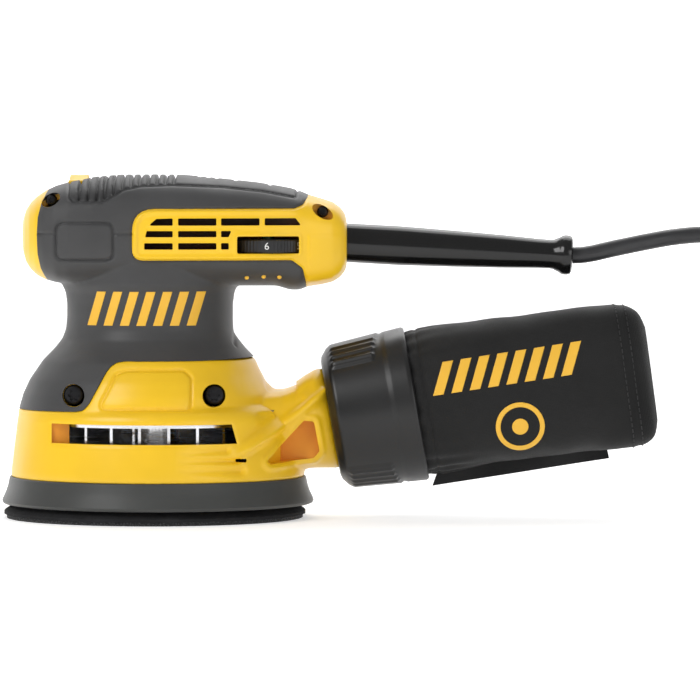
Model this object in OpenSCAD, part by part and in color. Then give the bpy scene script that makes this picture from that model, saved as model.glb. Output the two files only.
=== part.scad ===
// Palm-grip random orbit sander with a dust bag and a mains lead.
// Origin: motor axis on the sanding face. +Z up, +X towards the cord and the bag. Millimetres.

/* [Sanding pad] */
// Diameter of the sanding pad
pad_d = 125; // [110:1:150]
// Width of the orbit that the pad makes
orbit_d = 2.6; // [1.6:0.1:4]
// Thickness of the hook-and-loop face
face_t = 1.5; // [1:0.1:2.5]
// Thickness of the foam
foam_t = 6.5; // [5:0.5:9]
// Thickness of the backing plate
plate_t = 3; // [2.5:0.5:5]
// Diameter of a dust hole
dust_hole_d = 10; // [6:0.5:12]
// Circle that the dust holes lie on
dust_circle_d = 65; // [58:1:80]
// Number of dust holes
dust_hole_count = 8; // [4:1:8]
// Circle that the pad's screws lie on
pad_screw_circle_d = 22; // [20:0.5:23]
// Thread diameter of the pad's screws
pad_screw_d = 4; // [3:0.5:5]

/* [Spindle, balance weight and fan] */
// Diameter of the spindle that the pad hangs on
spindle_d = 12; // [9:0.5:14]
// Thickness of the spindle's flange
flange_t = 3; // [2.5:0.5:5]
// Outside diameter of the pad bearing
pad_bearing_d = 28; // [24:0.5:32]
// Width of the pad bearing
pad_bearing_w = 8; // [6:0.5:10]
// Radius of the balance weight
weight_r = 26; // [22:0.5:28]
// Diameter of the fan
fan_d = 101; // [84:1:103]
// Height of the fan's upper blades
fan_blade_h = 9; // [7:0.5:12]
// Number of fan blades
fan_blade_count = 26; // [12:1:30]

/* [Motor] */
// Diameter of the motor shaft
shaft_d = 8; // [6:0.1:10]
// Outside diameter of the lower shaft bearing
low_bearing_d = 26; // [22:0.5:30]
// Width of the lower shaft bearing
low_bearing_w = 8; // [6:0.5:10]
// Outside diameter of the upper shaft bearing
top_bearing_d = 22; // [19:0.5:26]
// Width of the upper shaft bearing
top_bearing_w = 7; // [5:0.5:9]
// Outside diameter of the stator
stator_d = 54; // [46:0.5:54.5]
// Height of the stator's stack of plates
stator_h = 32; // [24:1:34]
// Diameter of the armature
armature_d = 31; // [26:0.5:34]
// Gap of air between the armature and the stator
air_gap = 0.5; // [0.3:0.05:0.8]
// Diameter of the commutator
commutator_d = 21; // [18:0.5:24]
// Height of the commutator
commutator_h = 10; // [8:0.5:12]
// Width of a carbon brush
brush_w = 6; // [5:0.5:7]
// Height of a carbon brush
brush_h = 7; // [5:0.5:8]
// Length of a carbon brush
brush_l = 12; // [9:0.5:13]

/* [Skirt and shroud] */
// Height at which the shroud starts
shroud_base_z = 17; // [16:0.5:20]
// How much narrower the shroud's base is than the pad
base_in = 2; // [1:0.5:4]
// How much the shroud narrows from its base to its shoulder
shroud_taper = 7; // [4:0.5:9]
// Thickness of the shroud's wall
shroud_wall = 2.5; // [2:0.1:3]
// How far the skirt flares past the shroud's base
skirt_flare = 3.5; // [2:0.5:5]
// Height of the skirt's lower edge above the floor
skirt_lift = 4.4; // [4.2:0.1:6]
// Width of the window in the shroud
window_w = 69.6; // [50:0.2:72]
// Height of the window in the shroud
window_h = 7.8; // [6:0.2:8.2]

/* [Neck and handle] */
// Diameter of the neck
neck_d = 69.6; // [69:0.2:76]
// How far the neck stands in front of the motor axis
neck_offset = 3.2; // [2:0.1:3.4]
// Height of the neck and flank, from the shroud's shoulder to the handle's underside
neck_h = 51; // [50:1:62]
// Depth of the handle from its underside to its top
handle_h = 46.5; // [44:0.5:56]
// Reach of the handle in front of the motor axis
handle_front = 56.3; // [54:0.1:66]
// Reach of the handle behind the motor axis
handle_rear = 79.4; // [78:0.1:95]
// Width of the handle
handle_w = 77; // [76:1:92]
// Thickness of the soft grip
grip_t = 2; // [1.5:0.1:2.5]
// Thickness of the shell under the grip
shell_t = 2.2; // [1.8:0.1:2.6]

/* [Controls] */
// Width of the rocker, across the tool
rocker_w = 20; // [14:1:24]
// Length of the rocker, along the tool
rocker_l = 8; // [6:0.5:9]
// Angle that the rocker swings through
rocker_swing = 14; // [8:1:16]
// Diameter of the speed dial
dial_d = 30; // [24:1:34]
// Height of the speed dial
dial_h = 5.6; // [4:0.2:6]

/* [Dust outlet and bag] */
// Outside diameter of the dust spigot
spigot_d = 42; // [34:0.5:44]
// Thickness of the spigot's wall
spigot_wall = 2.5; // [2:0.1:3.5]
// Angle of the spigot above level
spigot_tilt = 9.9; // [6:0.1:14]
// Diameter of the locking collar at its front
collar_front_d = 59; // [57:0.5:66]
// Diameter of the locking collar at its rear
collar_rear_d = 64.4; // [60:0.2:72]
// Length of the locking collar
collar_l = 33; // [28:1:40]
// Length of the bag behind the collar
bag_l = 100; // [70:1:130]
// Width of the bag at its far end
bag_end_w = 50; // [36:1:60]
// Depth of the bag at its far end
bag_end_h = 63; // [50:1:66]

/* [Cord] */
// Diameter of the cord
cord_d = 7; // [5:0.5:7.5]
// Length of the strain relief outside the handle
relief_l = 94.5; // [60:0.5:110]
// Diameter of the strain relief at the handle
relief_d = 16.4; // [13:0.2:20]
// Turns that lie side by side in the coil
coil_rows = 3; // [2:1:4]
// Turns that lie one on another in the coil
coil_layers = 4; // [2:1:5]
// Diameter of the coil at the middle of its turns
coil_d = 78; // [70:1:84]

/* [Hidden] */
// Clearances: a running shaft, a push fit, parts that only pass each other
run_gap = 0.04;
push_gap = 0.05;
loose_gap = 0.3;
lap_gap = 0.1;

// Levels, built up from the sanding face
pad_x = -orbit_d / 2;
foam_top = face_t + foam_t;
plate_top = foam_top + plate_t;
flange_top = plate_top + flange_t;
bearing_z = flange_top + 1;
bearing_top = bearing_z + pad_bearing_w;
weight_top = bearing_top + 7.5;
disc_t = 1.4;
blade_z = weight_top + disc_t;
fan_top = blade_z + fan_blade_h;
bracket_t = 2.5;
bracket_z = fan_top + 2.6;
shroud_top = bracket_z + bracket_t;
low_bearing_z = shroud_top;
stator_z = low_bearing_z + low_bearing_w + 8;
stator_top = stator_z + stator_h;
commutator_z = stator_top + 5;
commutator_top = commutator_z + commutator_h;
top_bearing_z = commutator_top + 6;
shaft_top = top_bearing_z + top_bearing_w;
handle_z = shroud_top + neck_h;
handle_top = handle_z + handle_h;
wall_t = grip_t + shell_t;

// Radii and widths that several pieces share
pad_r = pad_d / 2;
shroud_base_d = pad_d - base_in;
shroud_top_d = shroud_base_d - shroud_taper;
neck_r = neck_d / 2;
flank_r = shroud_top_d / 2 - neck_offset;
fan_r = fan_d / 2;
shroud_in = shroud_wall + 0.1;

// Housing screws, which run across the tool: [x, z, y that the head seats at]
screw_d = 4;
screw_head_d = 7.8;
screw_head_h = 3;
screw_tip = 14;
boss_d = 8.4;
low_screw_z = shroud_top + 6.8;
low_shell_r = flank_r - 0.133 * (flank_r - neck_r) - grip_t;
front_low_x = -33.5;
rear_low_x = 24.5;
front_screw_x = 13 - handle_front;
rear_screw_x = handle_rear - 10.2;
housing_screw_places = [
    [front_low_x, low_screw_z, -flank_reach(front_low_x) + screw_head_h],
    [rear_low_x, low_screw_z, -flank_reach(rear_low_x) + screw_head_h],
    [front_screw_x, handle_top - 10.2, -side_reach(front_screw_x) + grip_t + screw_head_h],
    [rear_screw_x, handle_top - 15, -side_reach(rear_screw_x) + screw_head_h + 1]
];

// Brushes, on the near and far sides of the commutator
brush_z = commutator_z + commutator_h / 2;
brush_y = commutator_d / 2 + 0.1;
holder_y = brush_y + 2;
holder_end = 29;

// Dust outlet: where its axis meets the front of the collar
outlet_x = shroud_base_d / 2 + 14.2;
outlet_z = shroud_base_z + 25;
outlet_turn = 90 - spigot_tilt;
spigot_r = spigot_d / 2;
spigot_back = 34;
spigot_front = 14;
bag_round = 9;

// Cord exit
exit_x = handle_rear;
exit_z = handle_z + 18;
exit_droop = 3.2;
cord_r = cord_d / 2;

// Speed dial, whose rim stands a little proud of the side vent
dial_x = handle_rear - 33.2;
dial_z = handle_z + 14.3;
dial_proud = 1;
dial_y = -(side_reach(dial_x) + dial_proud - dial_d / 2);
dial_post_d = 5;

// Rocker switch
rocker_x = 23.3 - handle_front;
rocker_z = handle_top - 5.6;

// The free cord: down to the floor in one curve, then a round coil with the plug on it
cord_route = [
    [173.8, 0, 109.7], [179, 0, 110], [190, 1, 112.3], [205, 4, 115.3], [220, 10, 117.6],
    [235, 20, 117.6], [248, 32.5, 112.5], [257, 45.5, 102.5], [262, 58, 89.5],
    [264, 68, 73.5], [264, 74, 57], [263, 76, 41], [262, 73, 26],
    [261, 64, 13], [260, 50, 5.2], [259, 34, 3.5], [259, 17, 3.5], [259, 0, 3.5]
];
coil_x = 305;
coil_w = coil_rows * cord_d;
coil_h = coil_layers * cord_d;
tail_route = [
    [333, -36.5, 24.5], [343, -27.5, 26], [349, -15, 29], [351, -2, 33], [351.5, 10, 36.5], [351.5, 22, 37]
];
tube_sides = 10;
plug_l = 34;

// Half the handle's width at a place along it
function side_reach(x) = lookup(x, [
    [-handle_front, 0.26 * handle_w],
    [6 - handle_front, 0.42 * handle_w],
    [22 - handle_front, 0.5 * handle_w],
    [handle_rear - 70, 0.5 * handle_w],
    [handle_rear - 36, 0.44 * handle_w],
    [handle_rear - 8, 0.33 * handle_w],
    [handle_rear, 0.25 * handle_w]
]);

// How far the flank's shell reaches to the side at the low screws
function flank_reach(x) = sqrt(pow(low_shell_r, 2) - pow(x + neck_offset, 2));

side_stations = [
    -handle_front, 6 - handle_front, 22 - handle_front, handle_rear - 70,
    handle_rear - 36, handle_rear - 8, handle_rear
];

// ---------- Shared shapes ----------

// A flat outline with its corners rounded and then moved inwards by a wall
module eased(ease, inset) {
    offset(delta = -inset)
    offset(r = ease, $fn = 24)
    offset(delta = -ease)
    children();
}

module handle_side_outline() {
    polygon([
        [-handle_front, handle_z + 5],
        [-handle_front, handle_top - 15],
        [10 - handle_front, handle_top - 6],
        [30 - handle_front, handle_top - 1],
        [40 - handle_front, handle_top],
        [handle_rear - 70, handle_top],
        [handle_rear - 50, handle_top - 2],
        [handle_rear - 30, handle_top - 4.6],
        [handle_rear - 18, handle_top - 7.5],
        [handle_rear - 5.5, handle_top - 11.6],
        [handle_rear, handle_top - 18],
        [handle_rear, handle_z + 7],
        [handle_rear - 5.5, handle_z + 1.6],
        [handle_rear - 17, handle_z],
        [10 - handle_front, handle_z + 1]
    ]);
}

module handle_plan_outline() {
    near = [for (x = side_stations) [x, -side_reach(x)]];
    far = [for (i = [len(side_stations) - 1 : -1 : 0]) [side_stations[i], side_reach(side_stations[i])]];
    polygon(concat(near, far));
}

module handle_end_outline() {
    translate([0, handle_z + handle_h / 2])
    square([handle_w, handle_h], center = true);
}

// The handle's solid form, moved inwards by a wall
module handle_form(inset) {
    reach = handle_front + handle_rear;
    intersection() {
        rotate([90, 0, 0])
        linear_extrude(height = handle_w + 2, center = true)
        eased(4, inset) handle_side_outline();

        translate([0, 0, handle_z - 1])
        linear_extrude(height = handle_h + 2)
        eased(8, inset) handle_plan_outline();

        translate([-handle_front - 1, 0, 0])
        rotate([90, 0, 90])
        linear_extrude(height = reach + 2)
        eased(15, inset) handle_end_outline();
    }
}

// The round neck and the flank that spreads out to the shroud
module neck_form(inset, base_z) {
    spread = flank_r - neck_r;
    translate([-neck_offset, 0, 0])
    rotate_extrude()
    polygon([
        [0, base_z],
        [flank_r - inset, base_z],
        [flank_r - inset, shroud_top],
        [neck_r + 0.76 * spread - inset, shroud_top + 12.3],
        [neck_r + 0.46 * spread - inset, shroud_top + 20.3],
        [neck_r + 0.14 * spread - inset, shroud_top + 27.8],
        [neck_r - inset, shroud_top + 33],
        [neck_r - inset, handle_z + wall_t + 4],
        [0, handle_z + wall_t + 4]
    ]);
}

module body_form(inset, base_z = shroud_top) {
    union() {
        handle_form(inset);
        neck_form(inset, base_z);
    }
}

// One side of the tool: -1 is the near side, +1 the far side
module half_space(side) {
    reach = 400;
    translate([-reach / 2, side < 0 ? -reach : 0, 0])
    cube([reach, reach, reach]);
}

// A flat outline in the side view, pushed right through the tool
module through_side() {
    rotate([90, 0, 0])
    linear_extrude(height = 200, center = true)
    children();
}

// Everything below the line where the dark grip meets the shroud
module shroud_side_region(gap) {
    through_side()
    polygon([
        [-80, shroud_top - gap], [-30, shroud_top - gap],
        [-19.6, shroud_top + 17.4 - gap], [-13.4, shroud_top + 20.8 - gap],
        [18.6, shroud_top + 20.9 - gap], [39.4, shroud_top + 21.5 - gap],
        [90, shroud_top + 21.5 - gap], [90, 0], [-80, 0]
    ]);
}

// The front of the handle, where the hard shell shows
module front_cap_region() {
    through_side()
    translate([-handle_front - 10, handle_z - 5])
    square([17.4, handle_h]);
}

// The side vent and the rear end, where the hard shell shows
module rear_shell_region() {
    through_side()
    union() {
        translate([handle_rear - 89.8, handle_z + 11])
        eased(4, 0) square([80, 21]);
        translate([handle_rear - 17, handle_z - 5])
        square([30, handle_h]);
    }
}

// The ribbed cover on top of the handle
module palm_region() {
    translate([29 - handle_front, -22, handle_top - 14])
    cube([handle_front + handle_rear - 47, 44, 30]);
}

module rocker_opening() {
    translate([rocker_x - rocker_l / 2 - loose_gap, -rocker_w / 2 - 1.2, rocker_z - 4])
    cube([rocker_l + 2 * loose_gap, rocker_w + 2.4, 20]);
}

module across_y(x, z, d, from, to) {
    translate([x, from, z])
    rotate([-90, 0, 0])
    cylinder(d = d, h = to - from);
}

// A ball bearing: outer ring, inner ring and a row of balls
module ball_bearing(d, bore, w) {
    ring_t = (d - bore) / 2 * 0.3;
    ball_r = ((d - bore) / 2 - 2 * ring_t) / 2;
    track_r = (d + bore) / 4;
    balls = floor(PI * track_r / ball_r * 0.75);
    difference() {
        cylinder(d = d, h = w);
        translate([0, 0, -1]) cylinder(r = d / 2 - ring_t, h = w + 2);
    }
    difference() {
        cylinder(r = bore / 2 + ring_t, h = w);
        translate([0, 0, -1]) cylinder(d = bore, h = w + 2);
    }
    for (i = [0 : balls - 1])
        rotate(i * 360 / balls)
        translate([track_r, 0, w / 2])
        sphere(r = ball_r - 0.02);
}

// ---------- Sanding pad ----------

module at_pad() {
    translate([pad_x, 0, 0]) children();
}

module dust_holes(z, h) {
    for (i = [0 : dust_hole_count - 1])
        rotate((i + 0.5) * 360 / dust_hole_count)
        translate([dust_circle_d / 2, 0, z])
        cylinder(d = dust_hole_d, h = h);
}

module pad_screw_holes(z, h, d) {
    for (i = [0 : 2])
        rotate(60 + i * 120)
        translate([pad_screw_circle_d / 2, 0, z])
        cylinder(d = d, h = h);
}

module hook_face() {
    color([0.55, 0.55, 0.56])
    at_pad()
    difference() {
        cylinder(r = pad_r - 0.4, h = face_t);
        dust_holes(-1, face_t + 2);
        pad_screw_holes(-1, face_t + 2, pad_screw_d + 4);
    }
}

module pad_foam() {
    shoulder_z = skirt_lift - 0.6;
    color([0.08, 0.08, 0.09])
    at_pad()
    difference() {
        rotate_extrude()
        polygon([
            [0, face_t], [pad_r, face_t], [pad_r - 0.6, shoulder_z],
            [pad_r - 5, shoulder_z], [pad_r - 6.5, foam_top], [0, foam_top]
        ]);
        dust_holes(0, foam_top + 1);
        pad_screw_holes(0, foam_top + 1, pad_screw_d + 4);
    }
}

module backing_plate() {
    color([0.1, 0.1, 0.11])
    at_pad()
    difference() {
        translate([0, 0, foam_top]) cylinder(r = pad_r - 7.5, h = plate_t);
        dust_holes(foam_top - 1, plate_t + 2);
        pad_screw_holes(foam_top - 1, plate_t + 2, pad_screw_d + 0.3);
    }
}

module pad_spindle() {
    color([0.6, 0.6, 0.62])
    at_pad()
    difference() {
        union() {
            translate([0, 0, plate_top]) cylinder(d = pad_screw_circle_d + 11, h = flange_t);
            translate([0, 0, flange_top]) cylinder(d = spindle_d + 4, h = bearing_z - flange_top);
            translate([0, 0, bearing_z]) cylinder(d = spindle_d, h = pad_bearing_w);
        }
        pad_screw_holes(plate_top - 1, flange_t + 2, pad_screw_d);
    }
}

module pad_screws() {
    head_h = 2.4;
    color([0.75, 0.75, 0.77])
    at_pad()
    for (i = [0 : 2])
        rotate(60 + i * 120)
        translate([pad_screw_circle_d / 2, 0, foam_top])
        difference() {
            union() {
                translate([0, 0, -head_h]) cylinder(d = pad_screw_d + 3.4, h = head_h);
                cylinder(d = pad_screw_d - 2 * push_gap, h = plate_t + flange_t);
            }
            translate([0, 0, -head_h - 1]) cylinder(d = 2.6, h = 2.6, $fn = 6);
        }
}

// ---------- What turns with the motor ----------

module pad_bearing() {
    color([0.7, 0.7, 0.72])
    at_pad()
    translate([0, 0, bearing_z])
    ball_bearing(pad_bearing_d, spindle_d + 2 * run_gap, pad_bearing_w);
}

module balance_weight() {
    pocket_r = pad_bearing_d / 2;
    color([0.45, 0.45, 0.47])
    difference() {
        union() {
            translate([pad_x, 0, bearing_z]) cylinder(r = pocket_r + 3, h = weight_top - bearing_z);
            intersection() {
                translate([0, 0, bearing_z]) cylinder(r = weight_r, h = weight_top - bearing_z);
                translate([4, -weight_r, bearing_z]) cube([weight_r, 2 * weight_r, weight_top - bearing_z]);
            }
        }
        translate([pad_x, 0, bearing_z - 1]) cylinder(r = pocket_r, h = pad_bearing_w + 1);
        translate([0, 0, bearing_z]) cylinder(d = shaft_d, h = weight_top);
        translate([pad_x, 0, bearing_z]) cylinder(d = spindle_d + 6, h = pad_bearing_w + 1);
    }
}

module fan_blades(z, h, inner, outer) {
    blade_t = 1.2;
    for (i = [0 : fan_blade_count - 1])
        rotate(i * 360 / fan_blade_count)
        translate([inner, -blade_t / 2, z])
        cube([outer - inner, blade_t, h]);
}

module fan() {
    hub_r = shaft_d / 2 + 6;
    rim_t = 1.4;
    color([0.82, 0.83, 0.85])
    difference() {
        union() {
            translate([0, 0, weight_top]) cylinder(r = fan_r, h = disc_t);
            translate([0, 0, weight_top]) cylinder(r = hub_r, h = fan_top - weight_top);
            fan_blades(blade_z - 0.2, fan_blade_h + 0.2, weight_r + 3, fan_r - 0.4);
            fan_blades(weight_top - 6.5, 6.7, weight_r + 3, fan_r - 0.4);
            difference() {
                translate([0, 0, fan_top - rim_t]) cylinder(r = fan_r, h = rim_t);
                translate([0, 0, fan_top - 2 * rim_t]) cylinder(r = fan_r - 3, h = 3 * rim_t);
            }
        }
        translate([0, 0, weight_top - 1]) cylinder(d = shaft_d, h = fan_top);
    }
}

module motor_shaft() {
    color([0.8, 0.8, 0.82])
    translate([0, 0, bearing_top + 1.5])
    cylinder(d = shaft_d, h = shaft_top - bearing_top - 1.5);
}

module armature_core() {
    slots = 12;
    color([0.5, 0.5, 0.52])
    difference() {
        translate([0, 0, stator_z]) cylinder(d = armature_d, h = stator_h);
        translate([0, 0, stator_z - 1]) cylinder(d = shaft_d, h = stator_h + 2);
        for (i = [0 : slots - 1])
            rotate(i * 360 / slots)
            translate([armature_d / 2 - 4, -1, stator_z - 1])
            cube([6, 2, stator_h + 2]);
    }
}

module armature_windings() {
    bundle_h = 4.5;
    color([0.72, 0.38, 0.18])
    for (z = [stator_z - bundle_h, stator_top])
        translate([0, 0, z])
        difference() {
            cylinder(d = armature_d - 4, h = bundle_h);
            translate([0, 0, -1]) cylinder(d = shaft_d + 4, h = bundle_h + 2);
        }
}

module commutator() {
    bars = 12;
    color([0.75, 0.5, 0.28])
    difference() {
        translate([0, 0, commutator_z]) cylinder(d = commutator_d, h = commutator_h);
        translate([0, 0, commutator_z - 1]) cylinder(d = shaft_d, h = commutator_h + 2);
        for (i = [0 : bars - 1])
            rotate(i * 360 / bars)
            translate([commutator_d / 2 - 1, -0.25, commutator_z - 1])
            cube([3, 0.5, commutator_h + 2]);
    }
}

// ---------- Fixed parts of the motor ----------

module lower_bearing() {
    color([0.7, 0.7, 0.72])
    translate([0, 0, low_bearing_z])
    ball_bearing(low_bearing_d, shaft_d + 2 * run_gap, low_bearing_w);
}

module upper_bearing() {
    color([0.7, 0.7, 0.72])
    translate([0, 0, top_bearing_z])
    ball_bearing(top_bearing_d, shaft_d + 2 * run_gap, top_bearing_w);
}

module bearing_bracket() {
    boss_r = low_bearing_d / 2 + 3;
    plate_r = shroud_top_d / 2 - shroud_in - lap_gap;
    vents = 8;
    color([0.72, 0.73, 0.75])
    difference() {
        union() {
            translate([0, 0, bracket_z]) cylinder(r = plate_r, h = bracket_t);
            translate([0, 0, bracket_z]) cylinder(r = boss_r, h = low_bearing_z + low_bearing_w - bracket_z);
        }
        translate([0, 0, low_bearing_z]) cylinder(d = low_bearing_d, h = low_bearing_w + 1);
        translate([0, 0, bracket_z - 1]) cylinder(d = shaft_d + 4, h = bracket_t + 2);
        for (i = [0 : vents - 1])
            rotate((i + 0.5) * 360 / vents)
            translate([boss_r + 8, 0, bracket_z - 1])
            cylinder(d = 10, h = bracket_t + 2);
    }
}

module stator_core() {
    bore_r = armature_d / 2 + air_gap;
    pocket_r = stator_d / 2 - 3.4;
    color([0.48, 0.48, 0.5])
    difference() {
        translate([0, 0, stator_z]) cylinder(d = stator_d, h = stator_h);
        translate([0, 0, stator_z - 1]) cylinder(r = bore_r, h = stator_h + 2);
        for (side = [-1, 1])
            intersection() {
                translate([0, 0, stator_z - 1])
                difference() {
                    cylinder(r = pocket_r, h = stator_h + 2);
                    cylinder(r = bore_r + 1.8, h = stator_h + 2);
                }
                translate([side * 20 - 10, -stator_d / 2, stator_z - 1])
                cube([20, stator_d, stator_h + 2]);
            }
    }
}

module field_coils() {
    bore_r = armature_d / 2 + air_gap + 2;
    overhang = 5;
    color([0.7, 0.36, 0.16])
    for (side = [-1, 1])
        intersection() {
            translate([0, 0, stator_z - overhang])
            difference() {
                cylinder(r = stator_d / 2 - 3.6, h = stator_h + 2 * overhang);
                translate([0, 0, -1]) cylinder(r = bore_r, h = stator_h + 2 * overhang + 2);
            }
            translate([side * 20 - 9.8, -stator_d / 2, stator_z - overhang])
            cube([19.6, stator_d, stator_h + 2 * overhang]);
        }
}

module brush_holders() {
    tube_t = 1;
    color([0.8, 0.65, 0.3])
    for (side = [-1, 1])
        mirror([0, side < 0 ? 1 : 0, 0])
        difference() {
            translate([-brush_w / 2 - tube_t, holder_y, brush_z - brush_h / 2 - tube_t])
            cube([brush_w + 2 * tube_t, holder_end - holder_y, brush_h + 2 * tube_t]);
            translate([-brush_w / 2 - push_gap, holder_y - 1, brush_z - brush_h / 2 - push_gap])
            cube([brush_w + 2 * push_gap, holder_end - holder_y, brush_h + 2 * push_gap]);
        }
}

module carbon_brushes() {
    color([0.15, 0.15, 0.16])
    for (side = [-1, 1])
        mirror([0, side < 0 ? 1 : 0, 0])
        translate([-brush_w / 2, brush_y, brush_z - brush_h / 2])
        cube([brush_w, brush_l, brush_h]);
}

module brush_springs() {
    turns = 3;
    wire = 0.8;
    start_y = brush_y + brush_l;
    pitch = (holder_end - 1 - start_y) / turns;
    color([0.78, 0.78, 0.8])
    for (side = [-1, 1])
        mirror([0, side < 0 ? 1 : 0, 0])
        translate([0, start_y, brush_z])
        rotate([-90, 0, 0])
        difference() {
            cylinder(r = 2.2, h = turns * pitch);
            translate([0, 0, -1]) cylinder(r = 2.2 - wire, h = turns * pitch + 2);
            for (i = [0 : turns - 1])
                translate([-3, -1.2, (i + 0.3) * pitch])
                cube([6, 4, 0.5 * pitch]);
        }
}

// ---------- Skirt and shroud ----------

module skirt() {
    base_r = shroud_base_d / 2;
    wide_r = base_r + skirt_flare;
    lip_in = pad_r - 5 + orbit_d + 0.8;
    lip_r = base_r - shroud_in - push_gap;
    color([0.22, 0.23, 0.24])
    rotate_extrude()
    polygon([
        [lip_in, skirt_lift], [base_r, skirt_lift], [wide_r, skirt_lift + 2.6],
        [wide_r - 0.4, skirt_lift + 4.4], [base_r + 0.4, shroud_base_z], [lip_r - 0.2, shroud_base_z],
        [lip_r - 0.5, shroud_base_z + 4], [lip_r - 2.5, shroud_base_z + 4],
        [lip_r - 2.5, shroud_base_z - 1], [lip_in, skirt_lift + 3]
    ]);
}

module at_outlet() {
    translate([outlet_x, 0, outlet_z])
    rotate([0, outlet_turn, 0])
    children();
}

module shroud_cone(inset, extra) {
    translate([0, 0, shroud_base_z - extra])
    cylinder(
        r1 = shroud_base_d / 2 - inset, r2 = shroud_top_d / 2 - inset,
        h = shroud_top - shroud_base_z + 2 * extra
    );
}

module shroud() {
    ledge_t = 1.8;
    shoulder_t = 1.2;
    window_ahead = 0.8;
    window_top = bracket_z - ledge_t - 0.6;
    color([0.98, 0.72, 0.05])
    difference() {
        union() {
            difference() {
                shroud_cone(0, 0);
                shroud_cone(shroud_wall, 0.1);
            }
            translate([0, 0, bracket_z - ledge_t])
            difference() {
                cylinder(r = shroud_top_d / 2 - 1, h = ledge_t);
                translate([0, 0, -1]) cylinder(r = fan_r + 2.4, h = ledge_t + 2);
            }
            intersection() {
                difference() {
                    neck_form(0, shroud_top);
                    neck_form(grip_t - lap_gap, shroud_top - 1);
                }
                shroud_side_region(lap_gap);
            }
            translate([0, 0, shroud_top])
            difference() {
                cylinder(r = shroud_top_d / 2, h = shoulder_t);
                translate([-neck_offset, 0, -1]) cylinder(r = flank_r + lap_gap, h = shoulder_t + 2);
            }
            intersection() {
                at_outlet()
                translate([0, 0, -spigot_back]) cylinder(r = spigot_r, h = spigot_back + spigot_front);
                difference() {
                    translate([0, -60, shroud_base_z]) cube([200, 120, 100]);
                    shroud_cone(shroud_wall / 2, 20);
                    neck_form(1, 0);
                }
            }
        }
        difference() {
            at_outlet()
            translate([0, 0, -spigot_back])
            cylinder(r = spigot_r - spigot_wall, h = spigot_back + spigot_front + 10);
            neck_form(-shroud_wall, bracket_z - ledge_t);
        }
        at_outlet()
        translate([0, 0, 8])
        difference() {
            cylinder(r = spigot_r + 1, h = 2.4);
            translate([0, 0, -1]) cylinder(r = spigot_r - 1.2, h = 4.4);
        }
        for (side = [-1, 1])
            translate([-window_w / 2 - window_ahead, side > 0 ? 20 : -80, window_top - window_h])
            cube([window_w, 60, window_h]);
        across_y(housing_screw_places[1][0], low_screw_z, screw_head_d + 1, -80, 0);
    }
}

module outlet_seal() {
    color([0.12, 0.12, 0.12])
    at_outlet()
    translate([0, 0, 8.2])
    difference() {
        cylinder(r = spigot_r + 0.1, h = 2);
        translate([0, 0, -1]) cylinder(r = spigot_r - 1.15, h = 4);
    }
}

// ---------- Housing and grip ----------

module screw_bosses(side) {
    for (place = housing_screw_places)
        across_y(place[0], place[1], boss_d, side < 0 ? -60 : 0, side < 0 ? 0 : 60);
}

module bearing_seat() {
    seat_w = top_bearing_d + 8;
    translate([-seat_w / 2, -handle_w / 2, top_bearing_z - 1.5])
    cube([seat_w, handle_w, top_bearing_w + 3]);
}

module vent_slots() {
    slot_h = 2.9;
    rows = [
        [26.6, [[-82.9, -73.2], [-71, -54.8], [-52.7, -36.6], [-34.6, -19.5]]],
        [21.6, [[-84.8, -73.2], [-71, -54.8], [-52.7, -48.9]]],
        [16.5, [[-85.2, -73.2], [-71, -54.8], [-52.7, -49.4]]]
    ];
    for (row = rows)
        for (slot = row[1])
            translate([handle_rear + slot[0], -100, handle_z + row[0] - slot_h / 2])
            cube([slot[1] - slot[0], 200, slot_h]);
}

module dial_window() {
    translate([dial_x - 13, -100, dial_z + dial_h / 2 - 3.55])
    cube([26, 100, 7.1]);
}

module housing_half(side) {
    difference() {
        intersection() {
            half_space(side);
            union() {
                difference() {
                    union() {
                        body_form(grip_t);
                        intersection() {
                            handle_form(0);
                            union() {
                                front_cap_region();
                                rear_shell_region();
                            }
                        }
                    }
                    body_form(wall_t, shroud_top - 1);
                    rocker_opening();
                    vent_slots();
                }
                intersection() {
                    body_form(grip_t + 0.2);
                    union() {
                        screw_bosses(side);
                        bearing_seat();
                    }
                }
            }
        }
        translate([0, 0, top_bearing_z]) cylinder(d = top_bearing_d, h = top_bearing_w);
        translate([0, 0, top_bearing_z - 3]) cylinder(d = shaft_d + 5, h = top_bearing_w + 6);
        for (place = housing_screw_places) {
            across_y(place[0], place[1], screw_d, -80, screw_tip + 0.5);
            across_y(place[0], place[1], screw_head_d + 0.6, -80, place[2]);
        }
        at_relief() translate([0, 0, -12]) cylinder(d = relief_d + 2 * push_gap, h = 30);
        at_relief() translate([0, 0, -9.05]) cylinder(d = relief_d + 5 + 2 * push_gap, h = 4.1);
        dial_window_cut(side);
    }
}

module dial_window_cut(side) {
    if (side < 0) {
        dial_window();
        translate([dial_x, dial_y, dial_z - 0.6]) cylinder(d = dial_d + 1.2, h = dial_h + 1.2);
    }
}

module housing_left() {
    color([0.98, 0.72, 0.05]) housing_half(-1);
}

module housing_right() {
    color([0.98, 0.72, 0.05]) housing_half(1);
}

module grip_half(side) {
    difference() {
        intersection() {
            half_space(side);
            body_form(0);
        }
        body_form(grip_t, shroud_top - 1);
        front_cap_region();
        rear_shell_region();
        palm_region();
        shroud_side_region(0);
        rocker_opening();
        for (place = housing_screw_places)
            across_y(place[0], place[1], screw_head_d + 0.6, -80, place[2]);
    }
}

module grip_left() {
    color([0.23, 0.23, 0.24]) grip_half(-1);
}

module grip_right() {
    color([0.23, 0.23, 0.24]) grip_half(1);
}

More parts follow.
